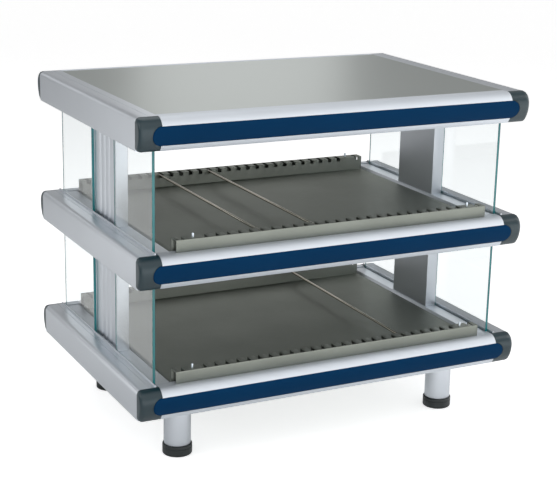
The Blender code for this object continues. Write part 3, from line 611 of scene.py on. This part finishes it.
def notched_bar(section, cut, short, full):
    """Points and faces of a section carried along Y, whose part beyond the cut ends early.
    Points are put in where the outline crosses the cut. The whole outline runs between the short
    ends and the part before the cut on to the full ends, and flat faces close the steps."""
    after = np.roll(section, -1, axis=0)
    crossing = np.flatnonzero((section[:, 0] - cut) * (after[:, 0] - cut) < 0)
    share = (cut - section[crossing, 0]) / (after[crossing, 0] - section[crossing, 0])
    points = section[crossing] + (after[crossing] - section[crossing]) * share[:, None]
    section = np.insert(section, crossing + 1, points, axis=0)
    before = section[:, 0] <= cut + 1e-9
    kept = np.flatnonzero(before)
    pair = np.stack([kept, np.roll(kept, -1)], axis=1)
    starts = np.flatnonzero(before & ~np.roll(before, -1))
    ends = np.flatnonzero(before & ~np.roll(before, 1))
    count = len(section)
    faces = [list(face + count) for face in grid_faces(2, count, wrap=True)]
    for outer, inner in ((0, 1), (3, 2)):
        faces += np.hstack([pair + outer * count, pair[:, ::-1] + inner * count]).tolist()
        faces.append((kept + outer * count).tolist())
        for start in starts:
            end = ends[ends > start].min() if (ends > start).any() else count
            faces.append([(index % count) + inner * count for index in range(start, end + 1)])
    return carried(section, "Y", (-full, -short, short, full)), faces


def strip_rings(lift):
    """Perimeter rings of the strip: a line with half-round ends that follows the bow, from its
    back edge over a softened rim to its face. Height is the middle plus radius times sine, reach
    the straight part plus radius times cosine, and depth the bow at that height plus the ring's
    depth."""
    front = POCKET_DEPTH - INSERT_THICKNESS - GAP
    rings = []
    for depth, shrink in ((POCKET_DEPTH - GAP, 0), (front + INSERT_RIM, 0), (front, INSERT_RIM)):
        radius = INSERT_HEIGHT / 2 - GAP - shrink
        reach, height = arc((BOW_HALF_LENGTH, INSERT_MIDDLE), radius, -90, 90, 33).T
        right = np.c_[reach, bow(height) + depth - HALF_DEPTH, height + lift]
        rings.append(np.vstack([right, right[::-1] * (-1, 1, 1)]))
    return np.array(rings)


def cap_skin(sizes, pocket):
    """Corner cap as rings of (x, depth, height) round the pocket's centre at its inner end.

    The cap is unrolled to a flat field: w runs outwards along the face and round the outer
    corner, v runs from the back of the underside round its edge and up the bow. Rays from the
    pocket's centre meet the field's rim, and rings between the pocket and the rim lie at even
    shares of each ray. Folding the field back, the outer corner is an arc of the corner's
    radius, by which the bow is drawn in, and the lower edge is a parabola."""
    corner, foot = sizes.cap_corner, sizes.cap_foot
    flat = CAP_WIDTH - corner
    under = BOW_TOP_DEPTH - bow(0.0) - foot
    width = flat + corner * np.pi / 2
    reach_low, reach_high = INSERT_MIDDLE + under, RAIL_HEIGHT - INSERT_MIDDLE
    low_angle, high_angle = -math.atan2(reach_low, width), math.atan2(reach_high, width)
    angle = np.concatenate([
        np.linspace(-np.pi / 2, low_angle, 15), np.linspace(low_angle, high_angle, 23)[1:],
        np.linspace(high_angle, np.pi / 2, 15)[1:]])
    cosine, sine = np.cos(angle), np.sin(angle)
    upright = np.where(sine < 0, reach_low, reach_high) / np.maximum(np.abs(sine), 1e-9)
    rim = np.minimum(width / np.maximum(cosine, 1e-9), upright)
    radius = INSERT_HEIGHT / 2
    bevel = sizes.pocket_bevel if pocket else 0.0
    shares = np.linspace(0, 1, 15)[1:]
    lengths = [np.full_like(angle, r) for r in (0.0, radius / 2, radius, radius, radius + bevel)]
    lengths += [(radius + bevel) * (1 - share) + rim * share for share in shares]
    length = np.array(lengths)
    depth = np.array([pocket] * 3 + [bevel] + [0.0] * (len(shares) + 1))[:, None]
    w, v = length * cosine, INSERT_MIDDLE + length * sine
    roll = np.clip((w - flat) / corner, 0, np.pi / 2)
    inset = corner * (1 - np.cos(roll))
    rolled = HALF_WIDTH - corner + corner * np.sin(roll)
    x = np.where(w > flat, rolled, BOW_HALF_LENGTH + w)
    elbow = bow(inset, inset)
    t = np.clip(v / foot, 0, 1)
    climb = np.clip((v - foot) / (RAIL_HEIGHT - foot), 0, 1)
    height = inset + foot + climb * (RAIL_HEIGHT - 2 * inset - foot)
    edge_depth = parabola(elbow + foot, elbow, bow(inset + foot, inset), t)
    under_depth = elbow + foot + (BOW_TOP_DEPTH - elbow - foot) * np.clip(-v / under, 0, 1)
    y = np.where(v < 0, under_depth, np.where(v < foot, edge_depth, bow(height, inset))) + depth
    z = np.where(v < 0, inset, np.where(v < foot, inset + t ** 2 * foot, height))
    start = BOW_HALF_LENGTH + GAP
    rings = np.stack([np.maximum(x, start), y, z], axis=-1)
    back = rings[-1] * (1, 0, 1) + (0, BOW_TOP_DEPTH, 0)
    hub = np.broadcast_to([start, BOW_TOP_DEPTH, INSERT_MIDDLE], back.shape)
    return np.concatenate([rings, back[None], hub[None]])


class CASE_OT_bowed_rails(bpy.types.Operator):
    """Front and rear bowed rails with the coloured strips"""

    bl_idname = "case.bowed_rails"
    bl_label = "Bowed rails and strips"

    def execute(self, context):
        for tier, lift in TIERS.items():
            for side, label in ((-1, "front"), (1, "rear")):
                name = label + "_rail_" + tier
                section = bowed_section(context.scene.case_sizes.edge, label == "rear")
                placed = section * (-side, 1) + (side * HALF_DEPTH, lift)
                if name == "rear_rail_base":
                    self.rail_for_controls(name, section, placed)
                    continue
                rings = carried(placed, "X", (-BOW_HALF_LENGTH, BOW_HALF_LENGTH))
                ringed(name + "_extrusion", rings, "anodised_aluminium_across")
            self.strip("front_insert_" + tier + "_strip", lift)
        return {"FINISHED"}

    def strip(self, name, lift):
        """The strip's rings, faced by quads between its mirrored ends."""
        rings = strip_rings(lift)
        rows, columns = rings.shape[:2]
        half = np.arange(columns // 2 - 1)
        quads = np.c_[half, half + 1, columns - 2 - half, columns - 1 - half]
        faces = [*grid_faces(rows, columns, wrap=True), *quads, *quads + (rows - 1) * columns]
        piece(name, rings, faces, "satin_pvc_strip")

    def rail_for_controls(self, name, section, placed):
        """The base's rear rail, with the switch window and two shaft bores through its land.
        Marks on the land and its back are rows of points, the openings' cells are left out, and
        walls join the loops of points round each opening's front and back."""
        marks = INSERT_MIDDLE + np.array(
            [-WINDOW_HALF_HEIGHT, -BORE_RADIUS, BORE_RADIUS, WINDOW_HALF_HEIGHT])
        outer = int(np.flatnonzero(np.isclose(section[:, 0], LAND_DEPTH))[0])
        inner = int(np.flatnonzero(np.isclose(section[:, 0], LAND_BACK))[0])
        heights = marks + TIERS["base"]
        for corner, order in ((inner, heights[::-1]), (outer, heights)):
            row = np.c_[np.full_like(order, placed[corner, 0]), order]
            placed = np.insert(placed, corner + 1, row, axis=0)
        inner += len(marks)
        low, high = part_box("power_rocker")
        places = [-BOW_HALF_LENGTH, low.x - GAP, high.x + GAP]
        for place in KNOB_PLACES.values():
            places += [place - BORE_RADIUS, place + BORE_RADIUS]
        rings = carried(placed, "X", places + [BOW_HALF_LENGTH])
        rows, columns = rings.shape[:2]
        faces = grid_faces(rows, columns, wrap=True)
        keep = np.ones(len(faces), bool)
        walls = []
        for row, steps in ((1, np.arange(4)), (3, np.arange(1, 3)), (5, np.arange(1, 3))):
            ahead, behind = row * columns + outer + 1 + steps, row * columns + inner + 4 - steps
            keep[[*ahead[:-1], *behind[1:]]] = False
            ahead, behind = [np.r_[side, side[::-1] + columns] for side in (ahead, behind)]
            walls += [*np.c_[ahead, np.roll(ahead, -1), np.roll(behind, -1), behind]]
        skin = [*faces[keep], *walls, *end_faces(rows, columns)]
        piece(name + "_extrusion", rings, skin, "anodised_aluminium_across")


class CASE_OT_side_rails(bpy.types.Operator):
    """Side rails with their grooves, glass channel and notched ends"""

    bl_idname = "case.side_rails"
    bl_label = "Side rails"

    def execute(self, context):
        cut, short = CAP_WIDTH - GAP, HALF_DEPTH - BOW_RAIL_DEPTH - GAP
        full = HALF_DEPTH - BOW_TOP_DEPTH - GAP
        for tier, lift in TIERS.items():
            section = side_section(context.scene.case_sizes, tier)
            rings, faces = notched_bar(section, cut, short, full)
            for label, hand in HANDS.items():
                name = "_".join(("side_rail", label, tier, "extrusion"))
                points = rings * (-hand, 1, 1) + (hand * HALF_WIDTH, 0, lift)
                piece(name, points, faces, "anodised_aluminium_deep")
        return {"FINISHED"}


class CASE_OT_corner_caps(bpy.types.Operator):
    """Twelve moulded corner caps, with the strip's pocket in the front ones"""

    bl_idname = "case.corner_caps"
    bl_label = "Corner caps"

    def execute(self, context):
        for side, end, pocket in ((-1, "front", POCKET_DEPTH), (1, "rear", 0.0)):
            rings = cap_skin(context.scene.case_sizes, pocket)
            rows, columns = rings.shape[:2]
            first = np.arange(rows) * columns
            seam = [*first, *(first[::-1] + columns - 1)[1:-1]]
            faces = [*grid_faces(rows, columns), seam]
            for tier, lift in TIERS.items():
                for label, hand in HANDS.items():
                    points = rings * (hand, -side, 1) + (0, side * HALF_DEPTH, lift)
                    name = "_".join(("cap", end, label, tier, "moulding"))
                    piece(name, points, faces, "moulded_abs_cap")
        return {"FINISHED"}


# ---- posts, glass and sheets


class CASE_OT_posts(bpy.types.Operator):
    """Fluted posts between the tiers"""

    bl_idname = "case.posts"
    bl_label = "Posts"

    def execute(self, context):
        sizes = context.scene.case_sizes
        half, small = sizes.flute_width / 2, FLUTE_CORNER
        for bay in BAYS:
            for label, hand in HANDS.items():
                name = "post_" + label + "_" + bay
                low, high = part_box(name)
                inner, outer = sorted((abs(low.x), abs(high.x)))
                deep = outer - sizes.flute_depth
                outline, cuts = [(inner, low.y), (outer, low.y)], [POST_CORNER] * 2
                for shift in FLUTE_SHIFTS:
                    place = (low.y + high.y) / 2 + shift
                    outline += [(outer, place - half), (deep, place - half * 0.4)]
                    outline += [(deep, place + half * 0.4), (outer, place + half)]
                    cuts += [small, half * 0.35, half * 0.35, small]
                outline += [(outer, high.y), (inner, high.y)]
                section = softened(outline, cuts + [POST_CORNER] * 2) * (hand, 1)
                rings = carried(section, "Z", (low.z, high.z))
                ringed(name + "_extrusion", rings, "anodised_aluminium_upright")
        return {"FINISHED"}


class CASE_OT_glass(bpy.types.Operator):
    """Eight glass panels with polished edges"""

    bl_idname = "case.glass"
    bl_label = "Glass panels"

    def execute(self, context):
        arris = context.scene.case_sizes.glass_arris
        for bay in BAYS:
            for label in HANDS:
                for end in ("front", "rear"):
                    name = "_".join(("glass", end, label, bay))
                    rings = plate_rings(*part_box(name), "X", arris, GLASS_CORNER)
                    ringed(name + "_pane", rings, "toughened_float_glass", "polished_glass_edge")
        return {"FINISHED"}


class CASE_OT_sheets(bpy.types.Operator):
    """Canopy panel, base pan and reflectors"""

    bl_idname = "case.sheets"
    bl_label = "Panels and reflectors"

    def execute(self, context):
        steel = "brushed_stainless_sheet"
        rings = plate_rings(*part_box("top_panel"), "Z", PANEL_ARRIS, PANEL_CORNER)
        ringed("top_panel_sheet", rings, steel)
        for name in ("base_pan", "reflector_middle", "reflector_canopy"):
            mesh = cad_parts[name].data
            mesh.materials.clear()
            mesh.materials.append(finish(steel))
        return {"FINISHED"}


# ---- shelves and rods


class CASE_OT_shelves(bpy.types.Operator):
    """Shelf trays folded from one slotted sheet, their pins and the divider rods"""

    bl_idname = "case.shelves"
    bl_label = "Shelves and rods"

    def execute(self, context):
        for tier in ("base", "middle"):
            self.tray(tier, TIERS[tier], context.scene.case_sizes.bend_radius)
            self.pins(tier)
        for place in ("base_1", "middle_1", "middle_2"):
            self.rod("divider_rod_" + place, "rod_" + place)
        return {"FINISHED"}

    def tray(self, tier, lift, bend):
        """A grid of x by distance along the folded path, with the slots' cells left out. The
        slots' ends are marks on the path behind its first, second, fourth and fifth bend. Solidify
        gives the sheet its thickness and Bevel breaks its cut edges."""
        floor, top = lift + RAIL_HEIGHT - FLOOR_DROP, lift + COMB_TOP
        on_rail = lift + RAIL_HEIGHT + GAP
        front, rear = TRAY_FRONT, TRAY_REAR
        one, two = front + COMB_DEPTH, rear - COMB_DEPTH
        corners = [
            (front, on_rail), (front, top), (one, top), (one, floor), (two, floor), (two, top),
            (rear, top), (rear, floor)]
        path = softened(corners, [0] + [bend] * 6 + [0])
        web = SHEET + GAP
        marks = [
            (front + web, top), (one, top - SLOT_DEPTH), (two, top - SLOT_DEPTH),
            (rear - web, top)]
        behind_bends = 1 + BEND_STEPS * np.array([1, 2, 4, 5])
        path = np.insert(path, behind_bends, marks, axis=0)
        rows = behind_bends + np.arange(len(marks))
        numbers = np.arange(-LAST_SLOT, LAST_SLOT + 1)
        slots = numbers[np.abs(numbers) != PIN_SLOT] * SLOT_PITCH
        across = np.sort(np.concatenate([
            [-TRAY_HALF_WIDTH, TRAY_HALF_WIDTH], slots - SLOT_WIDTH / 2, slots + SLOT_WIDTH / 2]))
        points = np.empty((len(path), len(across), 3))
        points[..., 0] = across
        points[..., 1:] = path[:, None]
        faces = grid_faces(len(path), len(across))
        row, column = np.divmod(np.arange(len(faces)), len(across) - 1)
        middles = (across[:-1] + across[1:]) / 2
        in_slot = (np.abs(middles[:, None] - slots).min(axis=1) < 1e-4)[column]
        in_comb = ((row >= rows[0]) & (row < rows[1])) | ((row >= rows[2]) & (row < rows[3]))
        kept = faces[~(in_slot & in_comb)]
        name = "shelf_tray_" + tier + "_sheet"
        made = piece(name, points, kept, "hardcoat_aluminium_sheet", closed=False)
        thick = made.modifiers.new("sheet thickness", "SOLIDIFY")
        thick.thickness, thick.offset, thick.use_even_offset = SHEET, -1.0, True
        broken = made.modifiers.new("cut edges", "BEVEL")
        broken.width, broken.segments, broken.angle_limit = CUT_EDGE, 1, math.radians(50)

    def pins(self, tier):
        """Four turned pins: cylinders whose domed tops follow a quarter circle."""
        dome = arc((0, PIN_RISE - PIN_RADIUS), PIN_RADIUS, 0, 90, 7)
        profile = np.vstack([[(0, 0), (PIN_RADIUS, 0)], dome])
        points, faces = [], []
        for y in (TRAY_FRONT + COMB_DEPTH / 2, TRAY_REAR - COMB_DEPTH / 2):
            for hand in HANDS.values():
                centre = (hand * PIN_SLOT * SLOT_PITCH, y, TIERS[tier] + COMB_TOP - SHEET / 2)
                rings = spun(profile, centre, segments=20)
                start = sum(len(part) for part in points)
                faces.append(grid_faces(*rings.shape[:2], wrap=True) + start)
                points.append(rings.reshape(-1, 3))
        points, faces, tray = np.vstack(points), np.vstack(faces), "shelf_tray_" + tier
        piece("shelf_pins_" + tier, points, faces, "turned_steel_pin", replaced=tray)

    def rod(self, name, body):
        """Turned rod along Y with domed ends."""
        low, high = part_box(name)
        radius, half = (high.z - low.z) / 2, (high.y - low.y) / 2
        end = arc((0, radius - half), radius, -90, 0, 6)
        profile = np.vstack([end, end[::-1] * (1, -1)])
        rings = spun(profile, box_centre(low, high), axis="Y", segments=24)
        ringed(name + "_turned", rings, "chromed_steel_rod", body=body)


# ---- legs, feet and controls


class CASE_OT_legs(bpy.types.Operator):
    """Tube legs and their levelling feet"""

    bl_idname = "case.legs"
    bl_label = "Legs and feet"

    def execute(self, context):
        for end in ("front", "rear"):
            for label in HANDS:
                self.leg("leg_" + end + "_" + label)
                self.foot("foot_" + end + "_" + label)
        return {"FINISHED"}

    def leg(self, name):
        """Turned tube, closed above, with a plug bored for the foot's stem and a broken rim."""
        bore, plug, wall, rim = 0.0063, 0.008, 0.002, 0.0012
        low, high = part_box(name)
        r, base, top = (high.x - low.x) / 2, low.z, high.z
        profile = [
            (0, top), (r, top), (r, base + rim), (r - rim / 3, base + rim / 4), (r - rim, base),
            (bore, base), (bore, base + plug), (r - wall, base + plug), (r - wall, top - plug),
            (0, top - plug)]
        rings = spun(profile, (*box_centre(low, high)[:2], 0))
        ringed(name + "_tube", rings, "anodised_aluminium_upright")

    def foot(self, name):
        """Turned foot: a pad with softened rims and a shallow grip groove, and its stem."""
        tall, stem, chamfer, low_rim, top_rim = 0.0235, 0.006, 0.001, 0.003, 0.002
        grip_low, grip_high, grip_depth, grip_slope = 0.0155, 0.0177, 0.0007, 0.0005
        low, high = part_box(name)
        r, top = (high.x - low.x) / 2, high.z
        groove = [
            (r, grip_low), (r - grip_depth, grip_low + grip_slope),
            (r - grip_depth, grip_high - grip_slope), (r, grip_high)]
        end = [(stem, tall), (stem, top - chamfer), (stem - chamfer, top), (0, top)]
        lower = arc((r - low_rim, low_rim), low_rim, -90, 0, 7)
        upper = arc((r - top_rim, tall - top_rim), top_rim, 0, 90, 7)
        profile = np.vstack([[(0, 0)], lower, groove, upper, end])
        rings = spun(profile, (*box_centre(low, high)[:2], 0))
        ringed(name + "_pad", rings, "moulded_nylon_black", body=name)


class CASE_OT_controls(bpy.types.Operator):
    """Power rocker, thermostat knobs and cord gland on the rear and underside"""

    bl_idname = "case.controls"
    bl_label = "Controls"

    def execute(self, context):
        height = TIERS["base"] + INSERT_MIDDLE
        for tier, place in KNOB_PLACES.items():
            centre = np.array((place, CONTROL_FACE, height))
            self.knob(tier, centre, context.scene.case_sizes.knob_flutes)
        self.rocker(height)
        self.gland()
        return {"FINISHED"}

    def knob(self, tier, centre, flutes):
        """Turned knob on a skirt. The grip's radius is waved by the cosine of the angle times the
        number of flutes."""
        def waved(points, angles):
            grip = (points > KNOB_GRIP).all(axis=1, keepdims=True).astype(float)
            return 1 - grip * 0.035 * (0.5 + 0.5 * np.cos(angles * flutes))

        name, body = "thermostat_knob_" + tier, "knob_" + tier
        rings = spun(KNOB_PROFILE, centre, axis="Y", segments=144, radius_share=waved)
        ringed(name + "_turned", rings, "moulded_nylon_black", body=body)
        pointer = plate_rings(centre + POINTER_LOW, centre + POINTER_HIGH, "X", 0.0003, 0.0004)
        ringed(name + "_pointer", pointer, "moulded_white_pointer", body=body, replaced="")

    def rocker(self, height):
        """Rocker's two-facet outline carried along X, its ends drawn in, tilted back."""
        section = softened(ROCKER_OUTLINE, ROCKER_CUTS)
        cosine, sine = math.cos(ROCKER_TILT), math.sin(ROCKER_TILT)
        rings = []
        for x, share in ROCKER_ENDS:
            y, z = (section * share).T
            turned = np.c_[y * cosine - z * sine, y * sine + z * cosine]
            placed = turned + (CONTROL_FACE, height)
            rings.append(carried(placed, "X", [ROCKER_PLACE + x])[0])
        ringed("power_rocker_moulding", np.array(rings), "moulded_nylon_black", body="rocker")

    def gland(self):
        """Turned cord gland: the nut's radius follows a hexagon, one over the cosine of the angle
        from the nearest flat."""
        def hexagon(points, angles):
            nut = (points[:, :1] > GLAND_NUT_RADIUS).astype(float)
            return 1 + nut * (1 / np.cos(np.mod(angles, np.pi / 3) - np.pi / 6) - 1)

        low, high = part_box("cord_gland")
        centre = (*box_centre(low, high)[:2], high.z)
        rings = spun(GLAND_PROFILE, centre, segments=48, radius_share=hexagon)
        ringed("cord_gland_moulding", rings, "moulded_nylon_black")


# ---- stage


def aimed(item, ahead, right, place):
    """Puts an object in place, facing ahead, with its own right hand where given."""
    up = np.cross(right, ahead)
    turned = Matrix((right.tolist(), up.tolist(), (-ahead).tolist())).transposed().to_4x4()
    turned.translation = place
    item.matrix_world = turned


def area_lamp(name, place, aim, size, power, depth=None):
    """Soft box with sides in metres, turned to its aim."""
    lamp = bpy.data.lights.new(name, "AREA")
    lamp.shape, lamp.size, lamp.size_y, lamp.energy = "RECTANGLE", size, depth or size, power
    item = linked(name, lamp)
    item.visible_camera = item.visible_transmission = False
    ahead = np.array(aim, float) - np.array(place, float)
    ahead /= np.linalg.norm(ahead)
    right = np.cross(ahead, (0, 0, 1))
    aimed(item, ahead, right / np.linalg.norm(right), place)


class CASE_OT_stage(bpy.types.Operator):
    """Floor, white surroundings, soft lamps and camera"""

    bl_idname = "case.stage"
    bl_label = "Studio"

    def execute(self, context):
        scene = context.scene
        self.floor(scene.case_colours)
        self.surroundings(scene)
        for lamp in LAMPS:
            area_lamp(*lamp)
        self.camera(scene)
        scene.view_settings.view_transform = "Standard"
        return {"FINISHED"}

    def rays(self, tree):
        """Whether a ray comes from the camera, a reflection or a pane, and whether from a
        reflection alone. A ray through a pane counts as glossy too, so it is taken off."""
        ray = node(tree, "LightPath").outputs
        glossy, pane = ray["Is Glossy Ray"], ray["Is Transmission Ray"]
        gloss = node(tree, "Math", {0: glossy, 1: pane}, operation="SUBTRACT", use_clamp=True)
        seen = node(tree, "Math", {0: ray["Is Camera Ray"], 1: glossy}, operation="MAXIMUM")
        return node(tree, "Math", {0: seen, 1: pane}, operation="MAXIMUM"), gloss

    def floor(self, colours):
        """A round floor whose height is zero out to its radius and then rises as a quarter
        circle. It is clear from below, and reflections see it brighter towards the front
        right."""
        bend = arc((FLOOR_RADIUS, FLOOR_RISE), FLOOR_RISE, -90, 0, 16)
        rings = spun(np.vstack([[(0.001, 0), (2.0, 0)], bend]), (0, 0, 0), segments=96)
        faces = grid_faces(*rings.shape[:2], wrap=True)[:, ::-1]
        mesh = bpy.data.meshes.new("studio_floor")
        mesh.from_pydata(rings.reshape(-1, 3).tolist(), [], faces.tolist())
        mesh.shade_smooth()
        skin = bpy.data.materials.new("matt_studio_paper")
        skin.use_nodes = True
        tree = skin.node_tree
        shader = tree.nodes["Principled BSDF"]
        seen, gloss = self.rays(tree)
        inputs = {0: node(tree, "TexCoord").outputs["Object"], 1: FLOOR_BRIGHT_WAY}
        towards = node(tree, "VectorMath", inputs, operation="DOT_PRODUCT")
        graded = node(tree, "MapRange", {
            "Value": towards, "From Min": -0.3, "From Max": 2.6, "To Min": 0.03, "To Max": 1.55})
        share = node(tree, "Mix", {"Factor": gloss, "A": FLOOR_SEEN, "B": graded})
        glow = node(tree, "Math", {0: seen, 1: share}, operation="MULTIPLY")
        wire(tree, shader, {
            "Base Color": opaque(colours.backdrop), "Roughness": 0.9,
            "Emission Color": opaque(colours.light), "Emission Strength": glow})
        side = node(tree, "NewGeometry").outputs["Backfacing"]
        below = node(tree, "MixShader", {0: side, 1: shader, 2: node(tree, "BsdfTransparent")})
        wire(tree, tree.nodes["Material Output"], {"Surface": below})
        mesh.materials.append(skin)
        linked("studio_floor", mesh)

    def surroundings(self, scene):
        """White to the camera and through glass, a soft sky that falls off towards the back for
        reflections, and a plain light level for everything else."""
        world = bpy.data.worlds.new("studio_white")
        world.use_nodes = True
        tree = world.node_tree
        tree.nodes.clear()
        seen, gloss = self.rays(tree)
        way = node(tree, "SeparateXYZ", {0: node(tree, "TexCoord").outputs["Object"]}).outputs["Y"]
        behind = node(tree, "MapRange", {
            "Value": way, "From Min": 0.0, "From Max": 0.8, "To Min": 0.62, "To Max": 0.42})
        bright = node(tree, "Mix", {"Factor": gloss, "A": WORLD_SEEN, "B": behind})
        level = node(tree, "Mix", {"Factor": seen, "A": WORLD_LIGHT, "B": bright})
        white = opaque(scene.case_colours.light)
        sky = node(tree, "Background", {"Color": white, "Strength": level})
        node(tree, "OutputWorld", {"Surface": sky})
        scene.world = world

    def camera(self, scene):
        """Camera at the photograph's viewing angle, turned a little about its own axis."""
        across, along = np.sin(CAMERA_AZIMUTH), np.cos(CAMERA_AZIMUTH)
        fall = np.cos(CAMERA_ELEVATION)
        ahead = np.array([across * fall, along * fall, -np.sin(CAMERA_ELEVATION)])
        level = np.array([along, -across, 0.0])
        right = np.cos(CAMERA_ROLL) * level + np.sin(CAMERA_ROLL) * np.cross(level, ahead)
        lens = bpy.data.cameras.new("photo_camera")
        lens.sensor_width, lens.lens = CAMERA_SENSOR, CAMERA_LENS
        item = linked("photo_camera", lens)
        aimed(item, ahead, right, CAMERA_PLACE)
        scene.camera = item


class CASE_PT_panel(bpy.types.Panel):
    """Sizes, colours and building steps of the display case"""

    bl_idname = "CASE_PT_panel"
    bl_label = "Display case"
    bl_space_type = "VIEW_3D"
    bl_region_type = "UI"
    bl_category = "Display case"

    def draw(self, context):
        for step in STEPS:
            self.layout.operator(step.bl_idname)
        for group in (context.scene.case_sizes, context.scene.case_colours):
            column = self.layout.column(align=True)
            for key in group.__annotations__:
                column.prop(group, key)


STEPS = (
    CASE_OT_bowed_rails, CASE_OT_side_rails, CASE_OT_corner_caps, CASE_OT_posts, CASE_OT_glass,
    CASE_OT_sheets, CASE_OT_shelves, CASE_OT_legs, CASE_OT_controls, CASE_OT_stage,
)


def register():
    """Registers the groups, the building steps and the panel."""
    for kind in (CaseSizes, CaseColours, *STEPS, CASE_PT_panel):
        bpy.utils.register_class(kind)
    bpy.types.Scene.case_sizes = PointerProperty(type=CaseSizes)
    bpy.types.Scene.case_colours = PointerProperty(type=CaseColours)


def unregister():
    """Takes away what register added."""
    del bpy.types.Scene.case_colours
    del bpy.types.Scene.case_sizes
    for kind in (CASE_PT_panel, *reversed(STEPS), CaseColours, CaseSizes):
        bpy.utils.unregister_class(kind)


def main():
    """Builds every piece in order."""
    register()
    bpy.ops.case.bowed_rails()
    bpy.ops.case.side_rails()
    bpy.ops.case.corner_caps()
    bpy.ops.case.posts()
    bpy.ops.case.glass()
    bpy.ops.case.sheets()
    bpy.ops.case.shelves()
    bpy.ops.case.legs()
    bpy.ops.case.controls()
    bpy.ops.case.stage()


if __name__ == "__main__":
    main()
